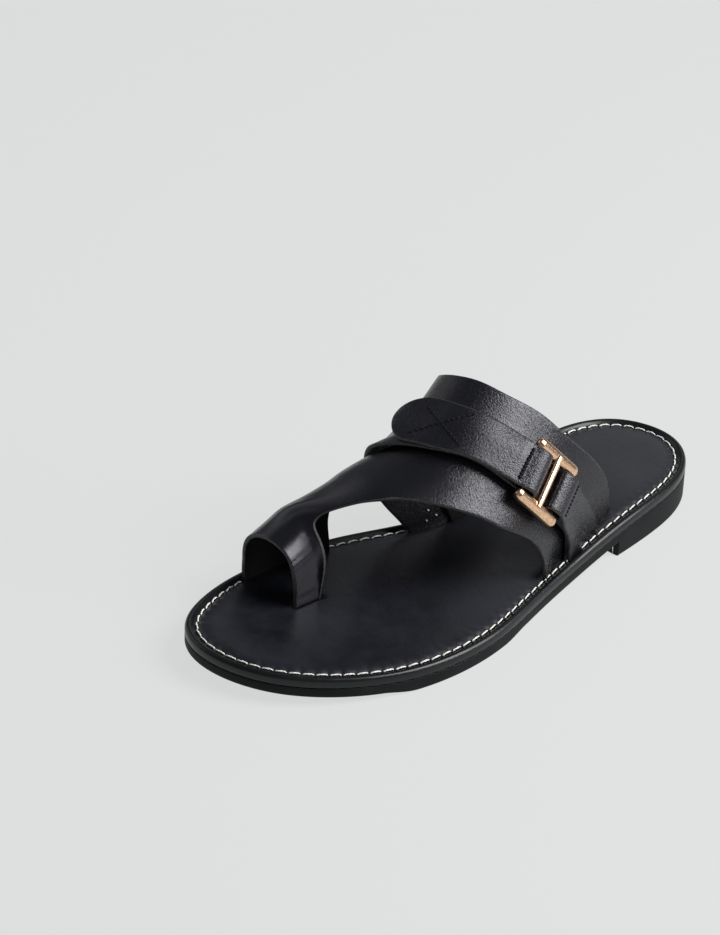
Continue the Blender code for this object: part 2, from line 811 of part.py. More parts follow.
upper_leather = material("black_leather", "#1B1B22", 0.38)
footbed_leather = material("footbed_leather", "#202024", 0.45)
rim_leather = material("rim_gloss", "#15161A", 0.25)
rubber = material("heel_rubber", "#2C2D2F", 0.6)
rose_gold = material("rose_gold", "#D9A07C", 0.22, 1.0)

make_outsole(rubber)
make_rand(rim_leather)
make_footbed(footbed_leather)
make_upper(upper_leather)
make_buckle_strap(upper_leather)
make_anchor_strap(upper_leather)
make_buckle(rose_gold)
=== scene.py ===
import math

import bmesh
import bpy
import numpy as np
from mathutils import Matrix
from mathutils.geometry import delaunay_2d_cdt


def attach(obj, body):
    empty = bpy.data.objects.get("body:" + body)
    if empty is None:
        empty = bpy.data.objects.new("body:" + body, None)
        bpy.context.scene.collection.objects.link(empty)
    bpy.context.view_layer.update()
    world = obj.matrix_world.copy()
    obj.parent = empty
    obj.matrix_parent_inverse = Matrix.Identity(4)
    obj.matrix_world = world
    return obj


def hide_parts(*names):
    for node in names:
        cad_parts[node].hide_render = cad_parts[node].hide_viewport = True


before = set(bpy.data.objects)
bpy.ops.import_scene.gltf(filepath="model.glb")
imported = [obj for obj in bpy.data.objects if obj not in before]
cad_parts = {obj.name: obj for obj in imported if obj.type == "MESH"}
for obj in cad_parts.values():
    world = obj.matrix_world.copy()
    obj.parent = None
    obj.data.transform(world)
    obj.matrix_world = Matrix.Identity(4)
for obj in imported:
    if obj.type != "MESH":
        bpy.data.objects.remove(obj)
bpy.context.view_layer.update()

# OUTSOLE
# One rubber moulding: a thin layer with toe spring and a raised arch, and a low heel behind a
# square breast. Its side is ground flush with the rim above it, and it is cemented on.

# The stitched line that the whole sandal is drawn from, in millimetres: x outwards, y heelwards.
STITCH_LINE = np.array([
    # x      y
    (-6.0, -121.5),
    (13.3, -115.6),
    (28.8, -102.2),
    (41.6, -80.5),
    (48.0, -54.9),
    (47.0, -26.2),
    (39.8, 1.8),
    (33.2, 30.3),
    (29.4, 60.0),
    (25.8, 84.7),
    (17.8, 107.6),
    (0.0, 121.1),
    (-23.0, 112.8),
    (-30.6, 85.4),
    (-25.3, 60.1),
    (-20.6, 30.0),
    (-24.0, -0.6),
    (-34.4, -30.3),
    (-38.9, -55.1),
    (-38.6, -79.9),
    (-32.7, -102.4),
    (-22.2, -117.3),
])
FOOTBED_TOP = np.array([
    # y      z
    (-130, 14.4),
    (-110, 12.7),
    (-90, 11.2),
    (-70, 10.1),
    (-50, 9.7),
    (-30, 9.6),
    (-10, 9.7),
    (10, 10.0),
    (30, 11.2),
    (50, 14.0),
    (70, 16.3),
    (90, 16.9),
    (110, 16.9),
    (130, 16.9),
])
RIM_WIDTH = 4.8           # from the stitched line to the sole's edge
RAND_HEIGHT = 4.1
OUTSOLE_HEIGHT = 4.4
HEEL_BREAST = 58.5        # y of the heel's square front face
BREAST_STEP = 0.05        # half the run over which that face drops to the ground
BREAST_SPAN = (-24.5, 28.5)
FLAT_TREAD = (-66.0, -22.0)   # where the ball of the sole lies flat on the ground
TREAD_EASE = 14.0         # run over which the sole lifts off on both sides of it
CAP_SPACING = 6.0
UV_UNIT = 100.0           # millimetres of leather for one unit of a map


def spline_slopes(knots, values):
    """Slopes at the knots of the natural cubic spline through the values."""
    count = len(knots)
    step = np.diff(knots)
    matrix = np.zeros((count, count))
    right = np.zeros((count,) + values.shape[1:])
    rise = np.diff(values, axis=0) / step[:, None]
    matrix[0, :2] = (2, 1)
    right[0] = 3 * rise[0]
    matrix[-1, -2:] = (1, 2)
    right[-1] = 3 * rise[-1]
    for i in range(1, count - 1):
        matrix[i, i - 1:i + 2] = (step[i], 2 * (step[i - 1] + step[i]), step[i - 1])
        right[i] = 3 * (step[i] * rise[i - 1] + step[i - 1] * rise[i])
    return np.linalg.solve(matrix, right)


def smooth(table, at):
    """Columns of a table, read smoothly at the given values of its first column."""
    order = np.argsort(table[:, 0])
    knots, values = table[order, 0], table[order, 1:]
    slopes = spline_slopes(knots, values)
    at = np.clip(np.atleast_1d(np.asarray(at, float)), knots[0], knots[-1])
    i = np.clip(np.searchsorted(knots, at) - 1, 0, len(knots) - 2)
    width = (knots[i + 1] - knots[i])[:, None]
    t = ((at - knots[i]) / (knots[i + 1] - knots[i]))[:, None]
    return (
        values[i] * (1 + 2 * t) * (1 - t) ** 2
        + slopes[i] * width * t * (1 - t) ** 2
        + values[i + 1] * t * t * (3 - 2 * t)
        + slopes[i + 1] * width * t * t * (t - 1)
    )


def travelled(path):
    """Distance along a path at each of its points."""
    return np.concatenate([[0], np.cumsum(np.linalg.norm(np.diff(path, axis=0), axis=1))])


def unit(vectors):
    """The same directions with a length of one."""
    return vectors / np.linalg.norm(vectors, axis=-1, keepdims=True)


def closed_curve(points, count):
    """A closed smooth curve through the points, as count points evenly spaced."""
    wrapped = np.vstack([points[-3:], points, points[:4]])
    steps = np.linalg.norm(np.diff(wrapped, axis=0), axis=1) ** 0.5
    knots = np.concatenate([[0], np.cumsum(steps)])
    table = np.column_stack([knots, wrapped])
    fine = smooth(table, np.linspace(knots[3], knots[3 + len(points)], 8000))
    length = travelled(fine)
    marks = np.linspace(0, length[-1], count, endpoint=False)
    return np.column_stack([np.interp(marks, length, fine[:, k]) for k in range(2)])


def outward(loop):
    """Unit normals pointing out of a loop that runs anticlockwise."""
    along = unit(np.roll(loop, -1, axis=0) - np.roll(loop, 1, axis=0))
    return np.column_stack([along[:, 1], -along[:, 0]])


def inside(loop, points):
    """Which points lie inside a closed loop."""
    found = np.zeros(len(points), bool)
    ax, ay = loop[:, 0], loop[:, 1]
    bx, by = np.roll(ax, -1), np.roll(ay, -1)
    for start in range(0, len(points), 2000):
        x = points[start:start + 2000, 0][:, None]
        y = points[start:start + 2000, 1][:, None]
        crosses = (ay > y) != (by > y)
        with np.errstate(divide="ignore", invalid="ignore"):
            at = ax + (y - ay) * (bx - ax) / (by - ay)
        found[start:start + 2000] = (crosses & (x < at)).sum(axis=1) % 2 == 1
    return found


def distance(loop, points):
    """Distance of each point from a closed loop."""
    found = np.zeros(len(points))
    run = np.roll(loop, -1, axis=0) - loop
    square = np.maximum((run * run).sum(1), 1e-12)
    for start in range(0, len(points), 500):
        offset = points[start:start + 500, None, :] - loop[None]
        t = np.clip((offset * run).sum(2) / square, 0, 1)
        offset -= t[..., None] * run
        found[start:start + 500] = np.linalg.norm(offset, axis=2).min(axis=1)
    return found


def ease(t):
    """0 below 0, 1 above 1, and a smooth rise between them."""
    t = np.clip(t, 0, 1)
    return t * t * (3 - 2 * t)


def footbed_z(y):
    """Height of the footbed's surface at y."""
    return smooth(FOOTBED_TOP, y)[:, 0]


def tread_z(y):
    """Underside of the sole: flat on the ground at the ball and under the heel."""
    hang = footbed_z(y) - RAND_HEIGHT - OUTSOLE_HEIGHT
    before, behind = (y - FLAT_TREAD[0]) / TREAD_EASE, (FLAT_TREAD[1] - y) / TREAD_EASE
    ball = ease(before + 1) * ease(behind + 1)
    under = np.maximum(hang * (1 - ball), 0)
    return np.where(y > HEEL_BREAST, 0, under)


PITCH_STEPS = 8           # points round the sole for each stitch
STITCH_COUNT = 108
STITCHED = closed_curve(STITCH_LINE, STITCH_COUNT * PITCH_STEPS)
STITCHED_OUT = outward(STITCHED)
EDGE = STITCHED + RIM_WIDTH * STITCHED_OUT
MIDDLE = (EDGE.min(axis=0) + EDGE.max(axis=0)) / 2


def placed(points):
    """Shoemaker's millimetres to metres in the part's own frame."""
    return (np.asarray(points) - [*MIDDLE, 0]) * 0.001


def paved(loops, spacing, keep):
    """Triangles over a flat region: its loops, a grid between them, and what to keep."""
    points, edges = [], []
    for loop in loops:
        start = len(points)
        points += [tuple(p) for p in loop]
        edges += [(start + i, start + (i + 1) % len(loop)) for i in range(len(loop))]
    every = np.vstack(loops)
    low, high = every.min(axis=0), every.max(axis=0)
    rows = np.arange(low[1] + spacing / 2, high[1], spacing * 0.87)
    grid = np.array([
        (x, y)
        for k, y in enumerate(rows)
        for x in np.arange(low[0] + (k % 2) * spacing / 2, high[0], spacing)
    ])
    clear = keep(grid)
    for loop in loops:
        clear &= distance(loop, grid) > 0.5 * spacing
    points += [tuple(p) for p in grid[clear]]
    flat, _, faces, *_ = delaunay_2d_cdt(points, edges, [], 0, 1e-6)
    flat = np.array([tuple(p) for p in flat])
    faces = np.array([tuple(f) for f in faces])
    faces = faces[keep(flat[faces].mean(axis=1))]
    used, index = np.unique(faces, return_inverse=True)
    return flat[used], index.reshape(-1, 3)


def add_piece(name, points, faces, materials, slots=None, flat_map=None):
    """A smooth mesh object that rides on the sandal, with an optional map in millimetres."""
    mesh = bpy.data.meshes.new(name)
    mesh.from_pydata(placed(points).tolist(), [], [tuple(map(int, f)) for f in faces])
    for material in materials:
        mesh.materials.append(material)
    if slots is not None:
        mesh.polygons.foreach_set("material_index", np.asarray(slots, dtype=np.int32))
    if flat_map is not None:
        corners = np.zeros(len(mesh.loops), dtype=np.int32)
        mesh.loops.foreach_get("vertex_index", corners)
        layer = mesh.uv_layers.new(name="millimetres")
        layer.data.foreach_set("uv", (np.asarray(flat_map)[corners] / UV_UNIT).ravel())
    shape = bmesh.new()
    shape.from_mesh(mesh)
    bmesh.ops.remove_doubles(shape, verts=shape.verts, dist=2e-7)
    bmesh.ops.recalc_face_normals(shape, faces=shape.faces)
    shape.to_mesh(mesh)
    shape.free()
    mesh.shade_smooth()
    made = bpy.data.objects.new(name, mesh)
    bpy.context.scene.collection.objects.link(made)
    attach(made, "root")
    return made


def ring_faces(ring_count, around):
    """Quads between rings of the same number of points."""
    faces = []
    for k in range(ring_count - 1):
        for i in range(around):
            a, b = k * around + i, k * around + (i + 1) % around
            faces.append((a, b, b + around, a + around))
    return faces


def linear(hex_colour):
    """An sRGB hex colour as the linear colour that shaders take."""
    parts = [int(hex_colour[i:i + 2], 16) / 255 for i in (1, 3, 5)]
    return [*(p / 12.92 if p <= 0.04045 else ((p + 0.055) / 1.055) ** 2.4 for p in parts), 1.0]


def new_material(name, hex_colour, **settings):
    """A material and its shader, with the colour and the settings on the shader's sockets."""
    material = bpy.data.materials.new(name)
    material.use_nodes = True
    shader = material.node_tree.nodes["Principled BSDF"]
    shader.inputs["Base Color"].default_value = linear(hex_colour)
    for socket, value in settings.items():
        shader.inputs[socket.replace("_", " ")].default_value = value
    return material, shader


def join(material, node, links):
    """Links into a node, each as (its input, the node it comes from, that node's output)."""
    for socket, source, output in links:
        material.node_tree.links.new(source.outputs[output], node.inputs[socket])


def add_node(material, kind, settings, links=()):
    """Adds a node with settings for its fields or inputs, and its links."""
    node = material.node_tree.nodes.new(kind)
    for key, value in settings.items():
        if key in node.inputs:
            node.inputs[key].default_value = value
        else:
            setattr(node, key, value)
    join(material, node, links)
    return node


def set_stops(ramp, *stops):
    """Gives both ends of a colour ramp their place and their colour."""
    for element, (place, hex_colour) in zip(ramp.color_ramp.elements, stops):
        element.position = place
        element.color = linear(hex_colour)


def cells(size_mm):
    """The scale of a pattern in metres whose cells are this many millimetres wide."""
    return 1000 / size_mm


# Moulded rubber: matte and slightly uneven, with light scuffs. The mould's grain is about
# 0.3 mm, less than a pixel of the render, and is drawn at 1.1 mm so that it shows.
rubber, shader = new_material(
    "moulded_rubber", "#161718", Roughness=0.55, Specular_IOR_Level=0.12,
)
where = add_node(rubber, "ShaderNodeTexCoord", {})
grain = add_node(
    rubber, "ShaderNodeTexNoise", {"Scale": cells(1.1), "Detail": 4.0},
    [("Vector", where, "Object")],
)
clouds = add_node(
    rubber, "ShaderNodeTexNoise", {"Scale": cells(14), "Detail": 3.0},
    [("Vector", where, "Object")],
)
tint = add_node(rubber, "ShaderNodeValToRGB", {}, [("Fac", clouds, "Fac")])
set_stops(tint, (0.35, "#101112"), (0.7, "#1B1C1E"))
rough = add_node(
    rubber, "ShaderNodeMapRange", {"To Min": 0.48, "To Max": 0.68},
    [("Value", clouds, "Fac")],
)
relief = add_node(
    rubber, "ShaderNodeBump", {"Strength": 0.6, "Distance": 0.0001},
    [("Height", grain, "Fac")],
)
join(rubber, shader, [
    ("Base Color", tint, "Color"), ("Roughness", rough, "Result"), ("Normal", relief, "Normal"),
])


def breast_stations(loop):
    """The loop with its nearest points moved to both sides of the heel breast."""
    moved = loop.copy()
    for i in range(len(loop)):
        j = (i + 1) % len(loop)
        if (loop[i, 1] - HEEL_BREAST) * (loop[j, 1] - HEEL_BREAST) < 0:
            share = (HEEL_BREAST - loop[i, 1]) / (loop[j, 1] - loop[i, 1])
            middle = loop[i] + share * (loop[j] - loop[i])
            step = 0.8 * BREAST_STEP * unit(loop[j] - loop[i])
            moved[i], moved[j] = middle - step, middle + step
    return moved


sole_line = breast_stations(STITCHED)
side_rings = [
    # mm outside the stitched line, level that the height is measured from, height in mm
    (-3.0, "top", 0.0),
    (3.3, "top", -0.1),
    (4.35, "top", -0.2),
    (4.65, "top", -0.42),
    (4.78, "top", -0.75),
    (4.8, "top", -1.6),
    (4.8, "tread", 1.7),
    (4.78, "tread", 0.9),
    (4.6, "tread", 0.35),
    (4.2, "tread", 0.06),
    (3.6, "tread", 0.0),
    (2.0, "tread", 0.0),
]
rings = []
for out, level, height in side_rings:
    flat = sole_line + out * STITCHED_OUT
    base = footbed_z(flat[:, 1]) - RAND_HEIGHT if level == "top" else tread_z(sole_line[:, 1])
    rings.append(np.column_stack([flat, base + height]))
points = np.vstack(rings)
faces = ring_faces(len(rings), len(sole_line))
left, right = BREAST_SPAN
breast_cuts = [
    np.array([(left, y), (0.0, y), (right, y), (right, y + 0.01), (left, y + 0.01)])
    for y in (HEEL_BREAST - BREAST_STEP, HEEL_BREAST + BREAST_STEP)
]
for line, cuts, level in (
    (rings[0][:, :2], [], lambda y: footbed_z(y) - RAND_HEIGHT),
    (rings[-1][:, :2], breast_cuts, tread_z),
):
    flat, fill = paved([line] + cuts, CAP_SPACING, lambda p, loop=line: inside(loop, p))
    faces += [tuple(f + len(points)) for f in fill]
    points = np.vstack([points, np.column_stack([flat, level(flat[:, 1])])])
outsole = add_piece("outsole_moulding", points, faces, [rubber])
outsole.data.set_sharp_from_angle(angle=math.radians(50))
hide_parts("outsole")

# RIM
# The rolled rim between groove and stitches: leather over a welt, painted and burnished until
# it shines, and stitched down round its inner side.

# Edge-painted leather: a glossy black coat over a faintly uneven base. Its brush marks of
# 0.2 mm are drawn at 0.7 mm so that they show.
rim_paint, shader = new_material(
    "burnished_edge", "#0C0D10", Roughness=0.32, Coat_Weight=0.12, Coat_Roughness=0.12,
    Specular_IOR_Level=0.3,
)
where = add_node(rim_paint, "ShaderNodeTexCoord", {})
uneven = add_node(
    rim_paint, "ShaderNodeTexNoise", {"Scale": cells(3.85), "Detail": 3.0},
    [("Vector", where, "Object")],
)
fine = add_node(
    rim_paint, "ShaderNodeTexNoise", {"Scale": cells(0.71), "Detail": 2.0},
    [("Vector", where, "Object")],
)
gloss = add_node(
    rim_paint, "ShaderNodeMapRange", {"To Min": 0.26, "To Max": 0.44},
    [("Value", uneven, "Fac")],
)
soft_relief = add_node(
    rim_paint, "ShaderNodeBump", {"Strength": 0.5, "Distance": 0.00018},
    [("Height", uneven, "Fac")],
)
relief = add_node(
    rim_paint, "ShaderNodeBump", {"Strength": 0.35, "Distance": 0.00004},
    [("Height", fine, "Fac"), ("Normal", soft_relief, "Normal")],
)
join(rim_paint, shader, [("Roughness", gloss, "Result"), ("Normal", relief, "Normal")])

rim_profile = [
    # mm outside the stitched line, mm over the footbed
    (-1.5, -1.9),
    (0.0, -1.35),
    (0.9, -1.2),
    (1.5, -0.85),
    (2.0, -0.4),
    (2.5, -0.05),
    (3.1, 0.12),
    (3.7, 0.02),
    (4.2, -0.3),
    (4.55, -0.8),
    (4.72, -1.4),
    (4.8, -2.1),
    (4.8, -3.1),
    (4.78, -3.5),
    (4.68, -3.78),
    (4.4, -3.98),
    (3.4, -4.1),
    (1.5, -4.1),
]
rings = []
for out, height in rim_profile:
    flat = STITCHED + out * STITCHED_OUT
    rings.append(np.column_stack([flat, footbed_z(STITCHED[:, 1]) + height]))
rim = add_piece(
    "rolled_rim", np.vstack(rings), ring_faces(len(rings), len(STITCHED)), [rim_paint]
)
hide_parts("rand")

# FOOTBED
# The insole that the foot rests on: smooth leather over a thin board, drawn down into the
# seam all round, where every stitch puckers it a little. The toe leg passes through a slot.

LEATHER = 1.8
SLOT_X = -11.4            # inner face of the toe leg where it passes through
SLOT_Y = (-77.9, -64.3)
SLOT_CLEARANCE = (0.15, 0.3)  # across the leg and along it
SLOT_RINGS = (0.5, 1.2, 2.4)  # where points are set round the slot, outside it
SLOT_DENT = 0.55          # how far the leather dips at the slot
DENT_REACH = 0.8
SLOT_WALL = 1.6
FOOTBED_SPACING = 4.0
PUCKER = 0.26             # depth to which a stitch pulls the leather down
RIPPLE = 0.16             # height of the ripples beside the seam
PRESSED = 0.6             # depth to which the feet of the straps press the leather down
PUCKER_BAND = (0.6, 1.1)  # where each is strongest inside the seam, and how far it reaches
RIPPLE_BAND = (2.2, 1.6)
PRESSED_BAND = (2.5, 1.6)
FEET_OUTER = (4.0, 62.0)  # where feet of straps cover the seam, from and to in y
FEET_INNER = (-14.0, 62.0)
FOOT_OF_LOOP = (-84.0, -58.0)
FOOT_FADE = 6.0           # run over which seam and leather change beside a foot
FOOTBED_ROLL = np.array([
    # mm inside the stitched line, mm under the footbed
    (-1.2, 1.5),
    (-0.5, 1.45),
    (0.0, 1.37),
    (0.6, 1.15),
    (1.2, 0.9),
    (1.9, 0.66),
    (2.7, 0.46),
    (3.7, 0.29),
    (5.0, 0.15),
    (6.5, 0.05),
    (8.5, 0.0),
])

# Finished leather: smooth satin black with a soft haze, painted greyer towards the heel to stand in
# for the sheen of the backdrop reflected there. Its pores of 0.15 mm are drawn at 0.7 mm so that
# they show.
footbed_leather, shader = new_material(
    "smooth_leather", "#121318", Roughness=0.34, Specular_Tint=linear("#F9F8FF"),
)
where = add_node(footbed_leather, "ShaderNodeTexCoord", {})
haze = add_node(
    footbed_leather, "ShaderNodeTexNoise", {"Scale": cells(22), "Detail": 6.0, "Roughness": 0.65},
    [("Vector", where, "Object")],
)
pores = add_node(
    footbed_leather, "ShaderNodeTexVoronoi", {"Scale": cells(0.67)},
    [("Vector", where, "Object")],
)
ripples = add_node(
    footbed_leather, "ShaderNodeTexNoise", {"Scale": cells(3.3), "Detail": 3.0},
    [("Vector", where, "Object")],
)
tint = add_node(footbed_leather, "ShaderNodeValToRGB", {}, [("Fac", haze, "Fac")])
set_stops(tint, (0.36, "#0B0C10"), (0.68, "#1C1D24"))
split = add_node(
    footbed_leather, "ShaderNodeSeparateXYZ", {}, [("Vector", where, "Object")],
)
# Painted sheen: towards the heel the colour is mixed with a paler grey, for the backdrop's
# reflection that lightens the heel.
heel_sheen_share = add_node(
    footbed_leather, "ShaderNodeMapRange", {"From Min": -0.06, "From Max": 0.09},
    [("Value", split, "Y")],
)
# Sockets 6 and 7 are the two colours that are mixed, and output 2 is the mix.
heel_painted_sheen = add_node(
    footbed_leather, "ShaderNodeMix", {"data_type": "RGBA"},
    [(0, heel_sheen_share, "Result"), (6, tint, "Color")],
)
heel_painted_sheen.inputs[7].default_value = linear("#202124")
gloss = add_node(
    footbed_leather, "ShaderNodeMapRange", {"To Min": 0.26, "To Max": 0.5},
    [("Value", haze, "Fac")],
)
soft_relief = add_node(
    footbed_leather, "ShaderNodeBump", {"Strength": 0.5, "Distance": 0.00014},
    [("Height", ripples, "Fac")],
)
relief = add_node(
    footbed_leather, "ShaderNodeBump", {"Strength": 0.3, "Distance": 0.00003},
    [("Height", pores, "Distance"), ("Normal", soft_relief, "Normal")],
)
join(footbed_leather, shader, [
    ("Base Color", heel_painted_sheen, 2), ("Roughness", gloss, "Result"), ("Normal", relief, "Normal"),
])


def covered(y, first, last):
    """1 where a foot that reaches from first to last covers the seam, and 0 beside it."""
    return ease((y - first) / FOOT_FADE) * ease((last - y) / FOOT_FADE)


def banded(depth, middle, reach):
    """1 at the middle of a band beside the seam, fading to both sides over its reach."""
    return math.exp(-((depth - middle) / reach) ** 2)


station = np.arange(len(STITCHED))
phase = 2 * math.pi * station / PITCH_STEPS
pull = (0.5 + 0.5 * np.cos(phase)) ** 3
wobble = 0.5 + 0.5 * np.sin(station * 0.37) * np.sin(station * 0.113 + 1.0)
outer_side = STITCHED[:, 0] > 0
y = STITCHED[:, 1]
under_strap = np.where(outer_side, covered(y, *FEET_OUTER), covered(y, *FEET_INNER))
under_strap = np.maximum(under_strap, ~outer_side * covered(y, *FOOT_OF_LOOP))
pull, wobble = pull * (1 - under_strap), wobble * (1 - under_strap)
rings = []
for depth, drop in FOOTBED_ROLL:
    flat = STITCHED - depth * STITCHED_OUT
    pucker = PUCKER * pull * banded(depth, *PUCKER_BAND)
    ripple = RIPPLE * np.cos(phase + 0.6) * wobble * banded(depth, *RIPPLE_BAND)
    pressed_down = PRESSED * under_strap * banded(depth, *PRESSED_BAND)
    inward = ease(depth / FOOTBED_ROLL[-1, 0])
    z = footbed_z(STITCHED[:, 1]) * (1 - inward) + footbed_z(flat[:, 1]) * inward
    rings.append(np.column_stack([flat, z - drop - pucker - ripple - pressed_down]))
points = np.vstack(rings)
faces = ring_faces(len(rings), len(STITCHED))
slot_middle = np.array([SLOT_X + LEATHER / 2, sum(SLOT_Y) / 2])
slot_half = np.array([LEATHER, SLOT_Y[1] - SLOT_Y[0]]) / 2 + SLOT_CLEARANCE


def slot_loop(grow):
    """The slot's outline, grown by some millimetres."""
    turn = np.linspace(0, 2 * math.pi, 48, endpoint=False)
    square = np.column_stack([np.cos(turn), np.sin(turn)])
    square = np.sign(square) * np.abs(square) ** 0.35
    return slot_middle + square * (slot_half + grow)


inner_line = rings[-1][:, :2]
slot = slot_loop(0)
flat, fill = paved(
    [inner_line, slot, *(slot_loop(grow) for grow in SLOT_RINGS)], FOOTBED_SPACING,
    lambda p: inside(inner_line, p) & ~inside(slot, p),
)
dent = SLOT_DENT * np.exp(-distance(slot, flat) / DENT_REACH)
faces += [tuple(f + len(points)) for f in fill]
points = np.vstack([points, np.column_stack([flat, footbed_z(flat[:, 1]) - dent])])
start = len(points)
brim = footbed_z(slot[:, 1]) - SLOT_DENT
walls = [np.column_stack([slot, brim - deep]) for deep in (0.0, SLOT_WALL)]
points = np.vstack([points] + walls)
faces += [tuple(np.array(f) + start) for f in ring_faces(2, len(slot))]
footbed = add_piece("covered_footbed", points, faces, [footbed_leather])
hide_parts("footbed")

# WHITE STITCHES
# Waxed cream thread in a lockstitch round the footbed. Each stitch lies in the seam, bows up
# a little and dives into its holes at both ends, so dark gaps of a millimetre part them.

# Waxed thread: warm white and dull, with darker flecks between its fibres. These are far too
# fine to show, and are drawn as coarse as 0.4 mm.
thread_white, shader = new_material("waxed_thread", "#E4DFD3", Roughness=0.6)
where = add_node(thread_white, "ShaderNodeTexCoord", {})
fibres = add_node(
    thread_white, "ShaderNodeTexNoise", {"Scale": cells(0.385), "Detail": 2.0},
    [("Vector", where, "Object")],
)
tint = add_node(thread_white, "ShaderNodeValToRGB", {}, [("Fac", fibres, "Fac")])
set_stops(tint, (0.3, "#C2BEB4"), (0.6, "#F7F5EF"))
relief = add_node(
    thread_white, "ShaderNodeBump", {"Strength": 0.5, "Distance": 0.00006},
    [("Height", fibres, "Fac")],
)
join(thread_white, shader, [("Base Color", tint, "Color"), ("Normal", relief, "Normal")])

PLIES = 2
TWIST = 0.9               # radians that the plies turn in a length of one radius
THREAD_RADIUS = 0.32
STITCH_START = 0.06       # part of the pitch before a stitch comes out of its hole
STITCH_SLANT = 0.5        # from one end of a stitch to the other, across the seam
STITCH_SINK = 1.3         # ends of a stitch under the footbed's own level
STITCH_BOW = 0.55         # how much higher its middle lies
STITCH_SWAY = 0.15        # and how much further out
LOOP_FOOT = (-80.0, -41.0)    # where the toe piece's inner foot hides the seam


def read_round(loop, at):
    """A closed loop's values at places between its points."""
    closed = np.vstack([loop, loop[:1]])
    at = at % len(loop)
    return np.column_stack([np.interp(at, np.arange(len(closed)), closed[:, c]) for c in range(2)])


def thread_run(path, radius, sides):
    """A twisted thread along a path: points and faces, pinched at both ends."""
    path = np.asarray(path, float)
    along = unit(np.gradient(path, axis=0))
    side = np.cross(along, [0.0, 0.0, 1.0])
    side /= np.maximum(np.linalg.norm(side, axis=1), 1e-9)[:, None]
    up = np.cross(side, along)
    travel = travelled(path)
    ends = np.minimum(travel, travel[-1] - travel) / radius
    size = radius * np.sqrt(np.clip(1 - (1 - np.clip(ends + 0.1, 0, 1)) ** 2, 0.05, 1))
    turn = np.linspace(0, 2 * math.pi, sides, endpoint=False)
    lobes = 1 + 0.16 * np.cos(PLIES * turn[None] + travel[:, None] * TWIST / radius)
    reach = size[:, None] * lobes
    ring = (
        path[:, None]
        + side[:, None] * (reach * np.cos(turn))[..., None]
        + up[:, None] * (reach * np.sin(turn))[..., None]
    )
    faces = ring_faces(len(path), sides)
    faces += [tuple(range(sides)), tuple(range((len(path) - 1) * sides, len(path) * sides))]
    return ring.reshape(-1, 3), faces


def add_threads(name, runs, thread):
    """One piece of many runs of thread, each with its points and faces."""
    points, faces, count = [], [], 0
    for ring, around in runs:
        points.append(ring)
        faces += [tuple(np.array(f) + count) for f in around]
        count += len(ring)
    return add_piece(name, np.vstack(points), faces, [thread])


runs = []
for k in range(STITCH_COUNT):
    x, y = STITCHED[k * PITCH_STEPS + PITCH_STEPS // 2]
    if x < 0 and LOOP_FOOT[0] < y < LOOP_FOOT[1]:
        continue
    share = np.linspace(STITCH_START, 1 - STITCH_START, 11)
    at = (k + share) * PITCH_STEPS
    slant = STITCH_SLANT * (0.5 - share)
    bow = np.maximum(np.sin(math.pi * (share - STITCH_START) / (1 - 2 * STITCH_START)), 0)
    away = read_round(STITCHED_OUT, at)
    line = read_round(STITCHED, at) + away * (slant + STITCH_SWAY * bow)[:, None]
    height = footbed_z(line[:, 1]) - STITCH_SINK + STITCH_BOW * bow ** 0.6
    runs.append(thread_run(np.column_stack([line, height]), THREAD_RADIUS, 10))
white_stitches = add_threads("footbed_stitches", runs, thread_white)

# GROOVE STITCHES
# A second row of lockstitch holds rim and outsole together. It is sunk in the groove between
# them and blackened with the edge paint, so that it only shows as fine dashes.

# Bonded nylon thread: deep black with a faint shine. Its fibres are drawn at 0.3 mm, much
# coarser than they are, so that they show.
thread_black, shader = new_material(
    "bonded_thread", "#0B0B0D", Roughness=0.7, Specular_IOR_Level=0.2,
)
where = add_node(thread_black, "ShaderNodeTexCoord", {})
fibres = add_node(
    thread_black, "ShaderNodeTexNoise", {"Scale": cells(0.33), "Detail": 2.0},
    [("Vector", where, "Object")],
)
tint = add_node(thread_black, "ShaderNodeValToRGB", {}, [("Fac", fibres, "Fac")])
set_stops(tint, (0.0, "#060607"), (1.0, "#19191C"))
join(thread_black, shader, [("Base Color", tint, "Color")])

GROOVE_DEPTH = 0.28       # thread's middle inside the sole's edge
GROOVE_THREAD = 0.26      # its radius
DASH = 0.6                # part of the pitch that a stitch shows
runs = []
for k in range(STITCH_COUNT):
    at = (k + np.linspace(0, DASH, 7)) * PITCH_STEPS
    line = read_round(EDGE, at) - GROOVE_DEPTH * read_round(STITCHED_OUT, at)
    path = np.column_stack([line, footbed_z(line[:, 1]) - RAND_HEIGHT])
    runs.append(thread_run(path, GROOVE_THREAD, 8))
groove_stitches = add_threads("groove_stitches", runs, thread_black)

# UPPER
# Two pieces of cut leather over the last: the toe piece, whose loop holds the big toe and
# whose arm crosses the instep, and the wide instep band that lies over its back edge.

SECTIONS = np.array([
    # y, height over the footbed, crest's place from inner to outer side, fullness, inner bulge
    (-80, 23.4, 0.66, 0.72, 8.6),
    (-64, 31.5, 0.57, 0.79, 6.8),
    (-50, 42.0, 0.42, 0.86, 3.0),
    (-38, 47.0, 0.36, 0.90, 2.0),
    (-20, 54.0, 0.37, 0.94, 5.0),
    (0, 66.5, 0.34, 0.94, 14.0),
    (20, 78.0, 0.32, 0.93, 20.5),
    (40, 85.0, 0.32, 0.92, 21.0),
    (65, 89.0, 0.33, 0.91, 20.0),
])
INSET = 1.6               # feet of the last inside the stitched line
TUCK = 2.2                # feet of the stacked straps draw in under the seam by this much
LOOP_TUCK = -1.2          # while the single foot of the toe loop lies out over the seam
TUCK_TURN = 16.0          # degrees of the foot that draw in
OUTER_TUCK = (8.0, 26.0)  # on the outer side the feet are stacked behind this run
TUNNEL = (-66.0, -44.0)   # run over which the toe loop opens out to the outer side
BAND_RAMP = 11.0          # run over which the band comes down behind the toe piece
OUTLINE_SPACING = 0.9
FACE_SPACING = 1.5
EDGE_LOOPS = (0.16, 0.4, 0.9)     # mm inside the cut, for the rounded edge
